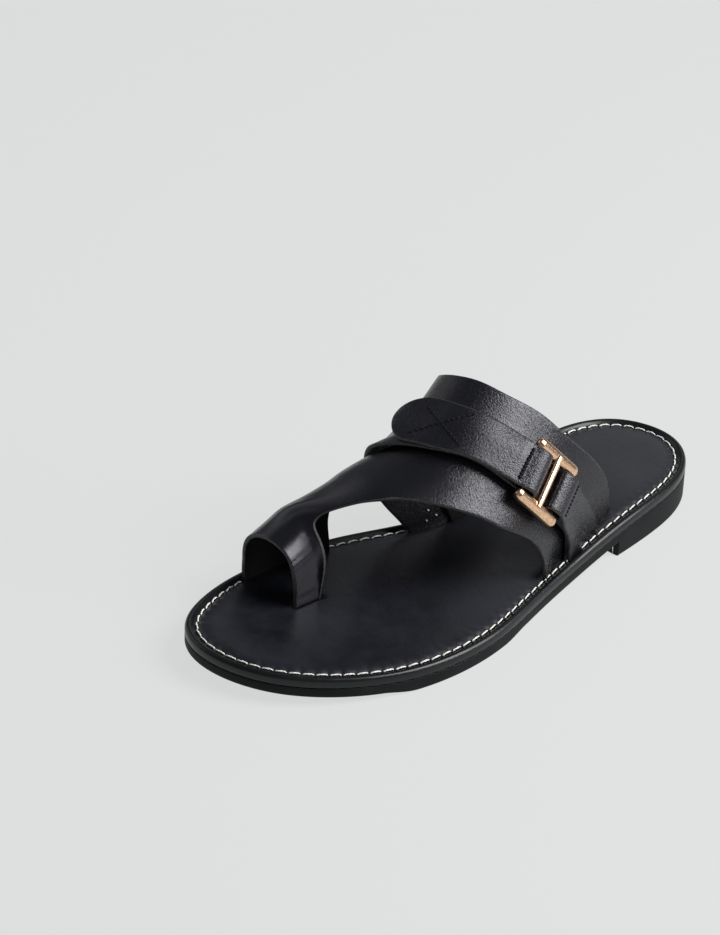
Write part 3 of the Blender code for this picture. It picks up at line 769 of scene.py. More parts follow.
FACE_RADIUS = 0.4
UNDER_RADIUS = 0.3
FACE_DROP = 0.8           # share of a quarter round by which the edges really drop
UNDER_DROP = 0.7

# Outlines on the last, by the degree of its arch from the inner foot and the place along it.
TOE_PIECE_EDGE = np.array([
    # turn   y
    (183, -77.7),
    (158, -77.9),
    (129, -78.2),
    (92, -79.0),
    (50, -79.2),
    (-3, -80.0),
    (-3, -39.8),
    (20, -38.8),
    (45, -35.2),
    (70, -26.0),
    (92, -13.0),
    (112, -4.0),
    (135, 5.0),
    (152, 12.5),
    (166, 21.0),
    (174, 28.6),
    (183, 30.2),
    (183, 14.0),
    (171, 9.7),
    (158, -1.5),
    (148, -11.0),
    (137, -18.7),
    (120, -31.3),
    (109, -39.6),
    (100, -46.6),
    (97, -51.5),
    (99, -56.0),
    (104, -59.4),
    (112, -61.9),
    (122, -62.9),
    (150, -62.7),
    (183, -64.5),
])
TOE_PIECE_CORNERS = (0, 5, 6, 16, 17, 31)
TOE_PIECE_BACK = TOE_PIECE_EDGE[6:17]
BAND_EDGE = np.array([
    # turn   y
    (-3, 15.0),
    (15, 6.0),
    (35, -8.0),
    (55, -18.0),
    (75, -20.5),
    (95, -13.5),
    (115, -4.5),
    (135, 5.0),
    (155, 17.0),
    (168, 28.0),
    (183, 37.0),
    (183, 59.8),
    (176, 58.7),
    (168, 54.7),
    (157, 45.4),
    (146, 35.2),
    (132, 25.8),
    (116, 16.5),
    (100, 11.4),
    (87, 8.8),
    (74, 8.5),
    (62, 11.4),
    (48, 20.8),
    (32, 35.0),
    (15, 49.0),
    (-3, 60.0),
])
BAND_CORNERS = (0, 10, 11, 25)
BAND_AIR = 0.02           # between the band and what it lies on
DEGREE = 0.62             # millimetres of leather for a degree of turn, near enough
# The face's outermost strip is painted as pale as the cut edge: partly worn edge paint, partly a
# painted highlight along the rounded edge.
EDGE_WEAR_AND_HIGHLIGHT = 0.22          # the face's outermost strip has rubbed as pale as the cut edge

GRAIN_LENGTH = 0.8        # size of the leather's pebbles across the shoe: this is their own,
GRAIN_WIDTH = 0.53        # and so is the one along it, which a pixel just shows

# Coated leather: black with a little blue, satin, with a fine pebble grain drawn out into
# short creases, which break up the highlights. The grain is pulled flatter over the toe loop,
# where the leather shines more.
upper_leather, shader = new_material(
    "grained_leather", "#101015", Roughness=0.28, Specular_Tint=linear("#F9F8FF"),
)
where = add_node(upper_leather, "ShaderNodeTexCoord", {})
stretch = add_node(
    upper_leather, "ShaderNodeMapping",
    {"Scale": (UV_UNIT / GRAIN_LENGTH, UV_UNIT / GRAIN_WIDTH, 1.0)},
    [("Vector", where, "UV")],
)
pebbles = add_node(
    upper_leather, "ShaderNodeTexVoronoi",
    {"feature": "SMOOTH_F1", "Scale": 1.0, "Smoothness": 0.5, "Detail": 1.0},
    [("Vector", stretch, "Vector")],
)
creases = add_node(
    upper_leather, "ShaderNodeTexNoise", {"Scale": 1.1, "Detail": 4.0, "Distortion": 0.8},
    [("Vector", stretch, "Vector")],
)
waves = add_node(
    upper_leather, "ShaderNodeTexNoise", {"Scale": cells(18), "Detail": 2.0},
    [("Vector", where, "Object")],
)
tint = add_node(upper_leather, "ShaderNodeValToRGB", {}, [("Fac", creases, "Fac")])
set_stops(tint, (0.3, "#0B0B10"), (0.7, "#131318"))
gloss = add_node(
    upper_leather, "ShaderNodeMapRange", {"To Min": 0.2, "To Max": 0.32},
    [("Value", creases, "Fac")],
)
split = add_node(upper_leather, "ShaderNodeSeparateXYZ", {}, [("Vector", where, "Object")])
stretched = add_node(
    upper_leather, "ShaderNodeMapRange",
    {"From Min": -0.06, "From Max": -0.02, "To Min": 0.3, "To Max": 1.0},
    [("Value", split, "Y")],
)
sheen = add_node(
    upper_leather, "ShaderNodeMapRange", {"From Min": 0.3, "To Min": 0.72, "To Max": 1.0},
    [("Value", stretched, "Result")],
)
gloss = add_node(
    upper_leather, "ShaderNodeMath", {"operation": "MULTIPLY"},
    [(0, gloss, "Result"), (1, sheen, "Result")],
)
wave_relief = add_node(
    upper_leather, "ShaderNodeBump", {"Strength": 0.4, "Distance": 0.0007},
    [("Height", waves, "Fac")],
)
crease_relief = add_node(
    upper_leather, "ShaderNodeBump", {"Distance": 0.00014},
    [
        ("Strength", stretched, "Result"), ("Height", creases, "Fac"),
        ("Normal", wave_relief, "Normal"),
    ],
)
relief = add_node(
    upper_leather, "ShaderNodeBump", {"Distance": 0.00008},
    [
        ("Strength", stretched, "Result"), ("Height", pebbles, "Distance"),
        ("Normal", crease_relief, "Normal"),
    ],
)
join(upper_leather, shader, [
    ("Base Color", tint, "Color"), ("Roughness", gloss, "Value"), ("Normal", relief, "Normal"),
])

# Cut edge of leather: bare fibres under thin edge paint, browner and paler than the face.
# The fibres are drawn at 0.8 mm, coarser than they are, so that they show.
cut_edge, shader = new_material("cut_edge", "#35322F", Roughness=0.62)
where = add_node(cut_edge, "ShaderNodeTexCoord", {})
fibres = add_node(
    cut_edge, "ShaderNodeTexNoise", {"Scale": cells(0.83), "Detail": 3.0},
    [("Vector", where, "Object")],
)
tint = add_node(cut_edge, "ShaderNodeValToRGB", {}, [("Fac", fibres, "Fac")])
set_stops(tint, (0.35, "#242322"), (0.7, "#4C4946"))
join(cut_edge, shader, [("Base Color", tint, "Color")])

# Microfibre lining on the foot's side: matte, short-napped black that shines back very
# little. The nap is drawn at 0.7 mm, coarser than it is, so that it shows.
lining, shader = new_material(
    "microfibre_lining", "#0E0E10", Roughness=0.9, Specular_IOR_Level=0.15,
)
where = add_node(lining, "ShaderNodeTexCoord", {})
nap = add_node(
    lining, "ShaderNodeTexNoise", {"Scale": cells(0.67), "Detail": 3.0},
    [("Vector", where, "Object")],
)
tint = add_node(lining, "ShaderNodeValToRGB", {}, [("Fac", nap, "Fac")])
set_stops(tint, (0.35, "#09090A"), (0.7, "#161618"))
relief = add_node(
    lining, "ShaderNodeBump", {"Strength": 0.6, "Distance": 0.0001}, [("Height", nap, "Fac")],
)
join(lining, shader, [("Base Color", tint, "Color"), ("Normal", relief, "Normal")])


def stitch_x(y, side):
    """x of the stitched line at y, on the outer (+1) or inner (-1) side."""
    low, high = STITCHED[:, 1].argmin(), STITCHED[:, 1].argmax()
    turned = np.roll(STITCHED, -low, axis=0)
    top = (high - low) % len(STITCHED)
    half = turned[:top + 1] if side > 0 else np.vstack([turned[top:], turned[:1]])[::-1]
    return np.interp(y, half[:, 1], half[:, 0])


def last_point(turn, y):
    """A point of the last. Past 0 or 180 degrees it runs straight down, 1 mm a degree."""
    turn, y = np.asarray(turn, float), np.asarray(y, float)
    height, crest, fullness, bulge = smooth(SECTIONS, y).T
    angle = np.radians(np.clip(turn, 0, 180))
    inner = stitch_x(y, -1) + INSET
    open_width = ease((y - TUNNEL[0]) / (TUNNEL[1] - TUNNEL[0]))
    outer = SLOT_X + (stitch_x(y, 1) - INSET - SLOT_X) * open_width
    across = (1 - np.cos(angle)) / 2
    across = across * (1 + (4 * crest - 2) * (1 - across))
    x = inner + (outer - inner) * across - bulge * np.sin(angle) * (1 + np.cos(angle)) / 2
    tuck = LOOP_TUCK + (TUCK - LOOP_TUCK) * open_width
    stacked = ease((y - OUTER_TUCK[0]) / (OUTER_TUCK[1] - OUTER_TUCK[0]))
    outer_tuck = (LOOP_TUCK + (TUCK - LOOP_TUCK) * stacked) * open_width
    x = x + tuck * (1 - ease(turn / TUCK_TURN))
    x = x - outer_tuck * (1 - ease((180 - turn) / TUCK_TURN))
    below = np.maximum(-turn, 0) + np.maximum(turn - 180, 0)
    z = footbed_z(y) + height * np.maximum(np.sin(angle), 0) ** fullness - below
    return np.column_stack([x, y, z])


def last_normal(turn, y):
    """Outward normal of the last; at its feet it is taken a little higher up."""
    turn, y = np.clip(np.asarray(turn, float), 2, 178), np.asarray(y, float)
    over = last_point(turn + 0.5, y) - last_point(turn - 0.5, y)
    along = last_point(turn, y + 0.5) - last_point(turn, y - 0.5)
    return -unit(np.cross(along, over))


def run_through(points, spacing):
    """An open smooth curve through the points, sampled about every spacing."""
    steps = np.maximum(np.linalg.norm(np.diff(points, axis=0), axis=1), 1e-6) ** 0.5
    knots = np.concatenate([[0], np.cumsum(steps)])
    table = np.column_stack([knots, points])
    fine = smooth(table, np.linspace(0, knots[-1], 60 * len(points)))
    length = travelled(fine)
    count = max(2, int(round(length[-1] / spacing)) + 1)
    marks = np.linspace(0, length[-1], count)
    return np.column_stack([np.interp(marks, length, fine[:, k]) for k in range(fine.shape[1])])


def edge_of(table, corners):
    """A closed outline through a table's points, smooth between its corners."""
    rows = table * np.array([DEGREE, 1.0])
    pieces = []
    for k, first in enumerate(corners):
        last = corners[(k + 1) % len(corners)]
        index = np.arange(first, last + 1 if last > first else last + len(rows) + 1) % len(rows)
        pieces.append(run_through(rows[index], OUTLINE_SPACING)[:-1])
    return np.vstack(pieces)


def overlap_ramp(turn, y):
    """1 where the band lies on the toe piece, easing to 0 behind the toe piece's back edge."""
    back = smooth(TOE_PIECE_BACK, turn)
    return ease(1 - (y - back[:, 0]) / BAND_RAMP)


def rounding(depth, radius):
    """How far a rounded edge has dropped at a depth inside the cut."""
    t = np.clip(1 - depth / radius, 0, 1)
    return radius * (1 - np.sqrt(1 - t * t))


def creased(flat, creases):
    """Height of the listed creases and swells at points of the flat leather."""
    height = np.zeros(len(flat))
    for turn0, y0, turn1, y1, reach, rise in creases:
        first = np.array([turn0 * DEGREE, y0])
        run = np.array([turn1 * DEGREE, y1]) - first
        share = ((flat - first) @ run) / (run @ run)
        near = np.clip(share, 0, 1)
        away = np.linalg.norm(flat - first - near[:, None] * run, axis=1)
        fade = np.sin(math.pi * np.clip(0.12 + 0.76 * near, 0, 1))
        height += rise * fade * np.exp(-(away / reach) ** 2)
    return height


def leather_piece(name, outline, inner_lift, outer_lift, creases):
    """A piece of leather lying on the last: two faces, rounded edges and a bare cut edge."""
    away = outward(outline)
    if inside(outline, outline[:1] + 0.2 * away[:1])[0]:
        away = -away
    loops = [outline]
    for depth in EDGE_LOOPS:
        inset = outline - depth * away
        keep = distance(outline, inset) > depth * 0.9
        loops.append(inset[keep])
    flat, faces = paved(loops, FACE_SPACING, lambda p: inside(outline, p))
    turn, y = flat[:, 0] / DEGREE, flat[:, 1]
    base, rise = last_point(turn, y), last_normal(turn, y)
    base = base + rise * creased(flat, creases)[:, None]
    depth = distance(outline, flat)
    face = outer_lift(turn, y) - rounding(depth, FACE_RADIUS) * FACE_DROP
    foot_side = inner_lift(turn, y) + rounding(depth, UNDER_RADIUS) * UNDER_DROP
    top = base + rise * face[:, None]
    bottom = base + rise * foot_side[:, None]
    count = len(flat)
    ends = np.concatenate([faces[:, [0, 1]], faces[:, [1, 2]], faces[:, [2, 0]]])
    known = {tuple(e) for e in ends.tolist()}
    rim = [(a, b) for a, b in ends.tolist() if (b, a) not in known]
    walls = [(b, a, a + count, b + count) for a, b in rim]
    under = [tuple(f[::-1] + count) for f in faces]
    # Painted highlight and wear: faces within that strip of the cut take the pale cut-edge
    # material.
    edge_wear_and_highlight = (depth[faces].mean(axis=1) < EDGE_WEAR_AND_HIGHLIGHT).astype(int)
    slots = [*edge_wear_and_highlight, *(2 - edge_wear_and_highlight)] + [1] * len(walls)
    made = add_piece(
        name, np.vstack([top, bottom]), [tuple(f) for f in faces] + under + walls,
        [upper_leather, cut_edge, lining], slots, np.vstack([flat, flat]),
    )
    made.data.set_sharp_from_angle(angle=math.radians(55))
    return made


def flat_lift(height):
    """A face that lies at one height over the last."""
    return lambda turn, y: np.full(len(np.atleast_1d(turn)), float(height))


# Creases and swells where the leather bends: both ends, half width and height, in millimetres
# of leather and degrees of turn. Minus is a trough.
TOE_CREASES = (
    # turn, y, turn, y, half width, height
    (128, -78.0, 122, -65.0, 1.5, -0.16),
    (137, -79.0, 133, -65.5, 1.3, -0.2),
    (146, -78.5, 143, -66.0, 1.2, -0.14),
    (176, -79.0, 176, -67.0, 0.9, -0.3),
    (171, -79.0, 171, -67.0, 1.5, 0.22),
    (84, -70.0, 98, -58.0, 3.5, -0.3),
    (62, -66.0, 80, -50.0, 5.0, -0.35),
    (46, -60.0, 62, -44.0, 4.0, 0.25),
    (96, -44.0, 112, -30.0, 4.0, 0.25),
    (70, -46.0, 96, -26.0, 4.5, -0.22),
)
BAND_CREASES = (
    # turn, y, turn, y, half width, height
    (62, -4.0, 84, 4.0, 4.5, -0.25),
    (50, 8.0, 66, 12.0, 4.0, 0.25),
    (104, 2.0, 122, 13.0, 4.0, -0.2),
    (140, 24.0, 158, 40.0, 4.5, -0.22),
    (166, 34.0, 172, 50.0, 4.0, 0.2),
    (20, 18.0, 34, 28.0, 5.0, -0.3),
)
toe_piece = leather_piece(
    "toe_piece", edge_of(TOE_PIECE_EDGE, TOE_PIECE_CORNERS),
    flat_lift(0.0), flat_lift(LEATHER), TOE_CREASES,
)
instep_band = leather_piece(
    "instep_band", edge_of(BAND_EDGE, BAND_CORNERS),
    lambda turn, y: LEATHER * overlap_ramp(turn, y) + BAND_AIR,
    lambda turn, y: LEATHER * overlap_ramp(turn, y) + LEATHER, BAND_CREASES,
)
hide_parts("upper")
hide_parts("upper")

# BUCKLE STRAP
# One strip of the same leather from the inner seam over the instep, round the buckle's front
# bar and back over itself. Its rounded end is sewn down with a cross in black thread.

STRAP_LEATHER = 1.6
UNDER_LAYER = np.array([
    # degree of the arch, and y of the front and the back edge there
    (-3, -3.6, 22.0),
    (0, -5.8, 20.5),
    (12, -14.0, 15.2),
    (25, -20.4, 6.6),
    (40, -24.6, -1.6),
    (55, -27.0, -4.9),
    (70, -27.2, -5.6),
    (85, -23.4, -4.2),
    (100, -18.4, -0.4),
    (115, -11.8, 4.8),
    (128, -6.2, 10.8),
    (140, 0.6, 18.0),
])
UPPER_LAYER = np.array([
    # the same for the end that comes back over it
    (140, 0.4, 17.6),
    (128, -6.4, 10.6),
    (113, -13.0, 4.0),
    (102, -17.6, 0.4),
    (93, -20.4, -1.4),
])
TAB_LENGTH = 16.5         # rounded end of the strap, past its last row
TAB_RISE = 0.6            # height by which its tip stands off
BUCKLE_FRONT = (138.8, 6.3)   # degree and y under the buckle's front and rear
BUCKLE_REAR = (157.4, 19.4)
BUCKLE_LIFT = 7.0
STRAP_ROLL = (-6.5, 2.9)  # middle and radius of the fold round the front bar
ANCHOR_ROLL = (7.8, 2.6)  # and of the one round the rear bar
STRAP_HALF_WIDTH = 8.9
ANCHOR_HALF_WIDTH = 8.5
EDGE_BULGE = 0.12         # how far a strap's cut edge stands out between its faces
STRAP_AIR = 0.1           # between a strap and what it lies on
ROW_SPACING = 1.6
ACROSS = 9                # points in a row across a strap


def buckle_frame():
    """Middle of the buckle, and its directions along the strap, across it and up."""
    front = last_point(*[np.array([v]) for v in BUCKLE_FRONT])[0]
    rear = last_point(*[np.array([v]) for v in BUCKLE_REAR])[0]
    middle = [np.array([(a + b) / 2]) for a, b in zip(BUCKLE_FRONT, BUCKLE_REAR)]
    along = unit(rear - front)
    up = last_normal(*middle)[0]
    up = unit(up - along * (up @ along))
    across = np.cross(up, along)
    centre = last_point(*middle)[0] + up * BUCKLE_LIFT
    return centre, along, across, up


def strap_row(turn, front, back, lift):
    """Points and normals of one row across a strap: lift is its middle over the upper."""
    y = np.linspace(front, back, ACROSS)
    turn = np.full(ACROSS, float(turn))
    rise = last_normal(turn, y)
    over = LEATHER * (1 + overlap_ramp(turn, y)) + lift
    return last_point(turn, y) + rise * over[:, None], rise


def bar_row(place, radius, half_width, degrees):
    """A row of the fold round a bar: 0 degrees faces the buckle's rear, and 90 faces up."""
    centre, along, across, up = buckle_frame()
    share = np.linspace(-1, 1, ACROSS)[:, None]
    radial = math.cos(math.radians(degrees)) * along + math.sin(math.radians(degrees)) * up
    middle = centre + place * along + share * half_width * across
    return middle + radial * radius, np.repeat(radial[None], ACROSS, axis=0)


def blend_rows(rows, target, first):
    """Bend the rows from first to the last one so that the last one meets the target row."""
    shift = target[0] - rows[-1][0]
    turn = target[1] - rows[-1][1]
    made = []
    for k, (points, normals) in enumerate(rows):
        share = float(ease((k - first) / (len(rows) - 1 - first)))
        made.append((points + shift * share, unit(normals + turn * share)))
    return made


def finer_rows(rows, spacing):
    """The same strip with rows about every spacing, smooth along its length."""
    middle = np.array([p.mean(axis=0) for p, _ in rows])
    length = travelled(middle)
    marks = np.linspace(0, length[-1], int(length[-1] / spacing) + 1)
    flat = np.array([np.concatenate([p.ravel(), n.ravel()]) for p, n in rows])
    fine = smooth(np.column_stack([length, flat]), marks)
    half = fine.shape[1] // 2
    made = [(row[:half].reshape(-1, 3), unit(row[half:].reshape(-1, 3))) for row in fine]
    return made, marks


def strap_solid(name, rows, marks):
    """A strip with rounded long edges, swept through rows of points and normals."""
    half = STRAP_LEATHER / 2
    rings, flat = [], []
    for (points, normals), mark in zip(rows, marks):
        edge = points[-1] - points[0]
        width = max(np.linalg.norm(edge), 1e-6)
        side = edge / width
        share = np.linspace(0, 1, len(points))
        depth = np.minimum(share, 1 - share) * width
        drop = rounding(depth, FACE_RADIUS) * FACE_DROP
        top = points + normals * (half - drop)[:, None]
        bottom = points - normals * (half - drop * UNDER_DROP)[:, None]
        far, near = points[-1:] + side * EDGE_BULGE, points[:1] - side * EDGE_BULGE
        far_up, near_up = normals[-1:] * half / 4, normals[:1] * half / 4
        far_edge, near_edge = [far + far_up, far - far_up], [near - near_up, near + near_up]
        ring = np.vstack([top, *far_edge, bottom[::-1], *near_edge])
        rings.append(ring)
        v = np.concatenate([share, [1, 1], share[::-1], [0, 0]]) * width
        flat.append(np.column_stack([np.full(len(ring), mark), v]))
    around = len(rings[0])
    faces = ring_faces(len(rings), around)
    count = len(rows[0][0])
    bare = {0, around - 1} | set(range(count - 2, count + 2)) | set(range(2 * count + 1, around))
    slots = [1 if (k % around) in bare else 0 for k in range(len(faces))]
    faces += [tuple(range(around)), tuple(range((len(rings) - 1) * around, len(rings) * around))]
    slots += [1, 1]
    made = add_piece(
        name, np.vstack(rings), faces, [upper_leather, cut_edge], slots, np.vstack(flat)
    )
    return made


def strap_shares(count):
    """Places across a strap, close together at both edges for their rounding."""
    inner = np.linspace(0.05, 0.95, count - 4)
    return np.concatenate([[0, 0.012], inner, [0.988, 1]])


def respaced(rows, shares):
    """The same rows with their points at other shares of the width."""
    made = []
    for points, normals in rows:
        table = np.column_stack([np.linspace(0, 1, len(points)), points, normals])
        read = smooth(table, shares)
        made.append((read[:, :3], unit(read[:, 3:])))
    return made


STRAP_SWELLS = (
    # mm along, height, half length of the swell or dip
    (144.8, 0.5, 2.8),
    (149.6, -0.6, 1.4),
)


def pressed(rows, marks, swells):
    """The rows lifted or pressed down along the strip by each swell."""
    made = []
    for (points, normals), mark in zip(rows, marks):
        lift = sum(h * math.exp(-((mark - at) / reach) ** 2) for at, h, reach in swells)
        made.append((points + normals * lift, normals))
    return made


lying = STRAP_AIR + STRAP_LEATHER / 2
turns = np.concatenate([[-3], np.linspace(0, 139, 36)])
edges = smooth(UNDER_LAYER, turns)
under = [strap_row(turn, *edge, lying) for turn, edge in zip(turns, edges)]
flipped = [(p, -n) for p, n in under]
wrap = [bar_row(*STRAP_ROLL, STRAP_HALF_WIDTH, a) for a in (-90, -60, -30, 0, 30, 60, 90)]
lower = blend_rows(flipped, wrap[0], len(flipped) - 5)
turns = np.linspace(137, 93, 16)
edges = smooth(UPPER_LAYER, turns)
doubled = lying + STRAP_LEATHER + STRAP_AIR / 2
upper = [strap_row(turn, *edge, doubled) for turn, edge in zip(turns, edges)]
upper = blend_rows(upper[::-1], wrap[-1], len(upper) - 6)[::-1]
points, normals = upper[-1]
middle = points.mean(axis=0)
reach = unit(unit(points - upper[-2][0]).mean(axis=0))
half = np.linalg.norm(points[-1] - points[0]) / 2
side = (points[-1] - points[0]) / (2 * half)
tab = []
for run in TAB_LENGTH * np.sin(np.linspace(0.08, 1, 18) * math.pi / 2):
    into = max(run - (TAB_LENGTH - half), 0)
    width = math.sqrt(max(half * half - into * into, (0.02 * half) ** 2))
    share = np.linspace(-1, 1, ACROSS)[:, None]
    flat = middle + reach * run + side * width * share
    start_row = points + reach * run
    keep_shape = 1 - float(ease(run / (0.7 * TAB_LENGTH)))
    rise = TAB_RISE * (run / TAB_LENGTH) ** 2
    tab.append((
        flat * (1 - keep_shape) + start_row * keep_shape + normals.mean(axis=0) * rise,
        normals,
    ))
under_part, under_marks = finer_rows(lower + wrap[1:-1] + upper, ROW_SPACING)
shares = strap_shares(17)
strap_rows = respaced(under_part, shares) + respaced(tab, shares)
tab_line = np.array([points.mean(axis=0) for points, _ in strap_rows[len(under_marks) - 1:]])
strap_marks = [*under_marks, *(under_marks[-1] + travelled(tab_line)[1:])]
strap_rows = pressed(strap_rows, strap_marks, STRAP_SWELLS)
buckle_strap = strap_solid("folded_strap", strap_rows, strap_marks)
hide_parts("buckle_strap")


def strap_place(rows, marks, along_mm, across_mm, lift):
    """A point on top of a strap, from millimetres along it and across it."""
    marks = np.asarray(marks)
    k = int(np.clip(np.searchsorted(marks, along_mm) - 1, 0, len(marks) - 2))
    t = (along_mm - marks[k]) / (marks[k + 1] - marks[k])
    found = []
    for points, normals in (rows[k], rows[k + 1]):
        run = travelled(points)
        found.append([
            np.array([np.interp(across_mm, run, values[:, c]) for c in range(3)])
            for values in (points, normals)
        ])
    point = found[0][0] * (1 - t) + found[1][0] * t
    normal = found[0][1] * (1 - t) + found[1][1] * t
    return point + unit(normal) * (STRAP_LEATHER / 2 + lift)


def sew(name, rows, marks, seams, thread):
    """Separate stitches on a strap. A seam has two ends and its stitches' pitch, length, radius."""
    runs = []
    for first, last, pitch, length, radius in seams:
        first, last = np.array(first, float), np.array(last, float)
        run = np.linalg.norm(last - first)
        for k in range(int(round(run / pitch)) + 1):
            middle = first + (last - first) * min(k * pitch / run, 1)
            step = (last - first) / run * length / 2
            path = []
            for t in np.linspace(-1, 1, 7):
                lift = radius * (0.75 * math.sqrt(max(1 - t * t, 0)) - 0.35)
                path.append(strap_place(rows, marks, *(middle + step * t), lift))
            runs.append(thread_run(path, radius, 8))
    made = add_threads(name, runs, thread)
    return made


# Ends of the seams, in mm along the strap from its inner foot and across it from its front.
CROSS_ENDS = (((196.2, 4.2), (177.2, 18.4)), ((175.7, 3.6), (196.4, 17.3)))
CROSS_STITCH = (2.0, 1.35, 0.42)      # pitch, length, radius
FOLD_SEAM = ((149.6, 2.9), (149.6, 15.8))
FOLD_STITCH = (1.6, 1.15, 0.7)
sew("strap_stitches", strap_rows, strap_marks, [
    (*CROSS_ENDS[0], *CROSS_STITCH), (*CROSS_ENDS[1], *CROSS_STITCH), (*FOLD_SEAM, *FOLD_STITCH),
], thread_black)
# Three single tacks of the waxed thread show low on the inner side, where the strap is closed.
TACKS = ((11.3, 13.7), (7.9, 15.3), (6.9, 10.1))
TACK_STITCH = (2.0, 0.8, 0.34)
TACK_RUN = 0.6
sew("inner_tacks", strap_rows, strap_marks, [
    ((along, across), (along + TACK_RUN, across), *TACK_STITCH) for along, across in TACKS
], thread_white)

# ANCHOR STRAP
# A short strip of the leather from the outer seam, round the buckle's rear bar and tucked back
# under itself, with a row of black stitches that closes its loop.

ANCHOR_LAYER = np.array([
    # degree of the arch, and y of the front and the back edge there
    (183, 29.4, 49.6),
    (180, 28.8, 48.8),
    (174, 27.0, 46.8),
    (168, 23.8, 43.0),
])
ANCHOR_LIFT = 4.9         # height over the last that the strap climbs to, near the bar
ANCHOR_CLIMB = (178.0, 164.0)     # degrees between which it climbs
ANCHOR_ROWS = 1.2         # spacing of its rows
OVER_BAR = (
    # mm behind the bar, mm under the top of the fold, degrees of lean
    (6.4, 1.1, 40),
    (4.4, 0.15, 20),
    (2.2, -0.2, 5),
)
ANCHOR_SEAM = (2.2, 15.6)     # from and to, across the strap
ANCHOR_STITCH = (1.7, 1.15, 0.36)
ANCHOR_DIP = (-0.3, 1.2)  # the seam presses the strap down by this much, over this reach
ANCHOR_FLAP = (2.5, 5.0, 7.5)     # how far its end lies back under the strap, row by row
turns = np.concatenate([[183], np.linspace(180, 167, 8)])
edges = smooth(ANCHOR_LAYER, turns)
outer = []
for turn, edge in zip(turns, edges):
    climb = float(ease((ANCHOR_CLIMB[0] - turn) / (ANCHOR_CLIMB[0] - ANCHOR_CLIMB[1])))
    outer.append(strap_row(turn, *edge, lying + (ANCHOR_LIFT - LEATHER - lying) * climb))
wrap = [bar_row(*ANCHOR_ROLL, ANCHOR_HALF_WIDTH, a) for a in (90, 120, 150, 180, 210, 240, 270)]
centre, along, across, up = buckle_frame()
over_bar = []
for run, drop, tilt in OVER_BAR:
    points, normals = wrap[0]
    lean = math.radians(tilt)
    normals = normals * math.cos(lean) + along * math.sin(lean)
    over_bar.append((points + along * run - up * drop, normals))
outer = blend_rows(outer, over_bar[0], 3)
seam_at = float(travelled(np.array([p.mean(axis=0) for p, _ in outer]))[-1])
outer += over_bar[1:] + wrap
points, normals = wrap[-1]
flap = [(points + along * run, normals) for run in ANCHOR_FLAP]
anchor_rows, anchor_marks = finer_rows(outer + flap, ANCHOR_ROWS)
anchor_rows = respaced(anchor_rows, strap_shares(15))
anchor_rows = pressed(anchor_rows, anchor_marks, ((seam_at, *ANCHOR_DIP),))
sew("anchor_stitches", anchor_rows, anchor_marks, [
    ((seam_at, ANCHOR_SEAM[0]), (seam_at, ANCHOR_SEAM[1]), *ANCHOR_STITCH),
], thread_black)
anchor_strap = strap_solid("anchor_loop", anchor_rows, anchor_marks)
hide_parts("anchor_strap")

# BUCKLE
# A cast zinc ladder buckle, plated in rose gold and polished: two round-ended rails joined by
# three bars. The straps fold round the outer bars and the middle bar is for show.

# Polished rose gold plating: a warm mirror, blurred a little by fine pits of the casting,
# which are drawn at 0.45 mm, coarser than they are, so that they show.
rose_gold, shader = new_material("rose_gold_plating", "#F0BE98", Metallic=1.0, Roughness=0.2)
where = add_node(rose_gold, "ShaderNodeTexCoord", {})
casting = add_node(
    rose_gold, "ShaderNodeTexNoise", {"Scale": cells(0.45), "Detail": 3.0},
    [("Vector", where, "Object")],
)
tint = add_node(rose_gold, "ShaderNodeValToRGB", {}, [("Fac", casting, "Fac")])
set_stops(tint, (0.35, "#D09E78"), (0.65, "#FAD8B8"))
gloss = add_node(
    rose_gold, "ShaderNodeMapRange", {"To Min": 0.1, "To Max": 0.26},
    [("Value", casting, "Fac")],
)
relief = add_node(
    rose_gold, "ShaderNodeBump", {"Strength": 0.4, "Distance": 0.00002},
    [("Height", casting, "Fac")],
)
join(rose_gold, shader, [
    ("Base Color", tint, "Color"), ("Roughness", gloss, "Result"), ("Normal", relief, "Normal"),
])

RAIL_LENGTH = 24.5
RAIL_WIDTH = 5.1
RAIL_THICKNESS = 3.8
RAIL_PROFILE = (
    # share of the thickness, share of the width: a flat underside and a domed top
    (-0.5, 0.2),
    (-0.5, 0.62),
    (-0.46, 0.8),
    (-0.36, 0.94),
    (-0.22, 1.0),
    (0.1, 1.0),
    (0.2, 0.97),
    (0.3, 0.87),
    (0.38, 0.74),
    (0.44, 0.57),
    (0.48, 0.37),
    (0.5, 0.12),
)
BAR_LENGTH = 22.8
BAR_RADIUS = 1.0
BAR_SPACING = 8.2
MIDDLE_BAR_RADIUS = 1.7
MIDDLE_BAR_LIFT = 1.1
centre, along, across, up = buckle_frame()
points, faces = [], []


def add_rings(rings):
    """Adds a tube of rings to the buckle, with its ends closed."""
    start = sum(len(p) for p in points)
    around = len(rings[0])
    points.append(np.vstack(rings))
    faces.extend(tuple(np.array(f) + start) for f in ring_faces(len(rings), around))
    last = start + (len(rings) - 1) * around
    faces.append(tuple(range(start, start + around)))
    faces.append(tuple(range(last, last + around)))


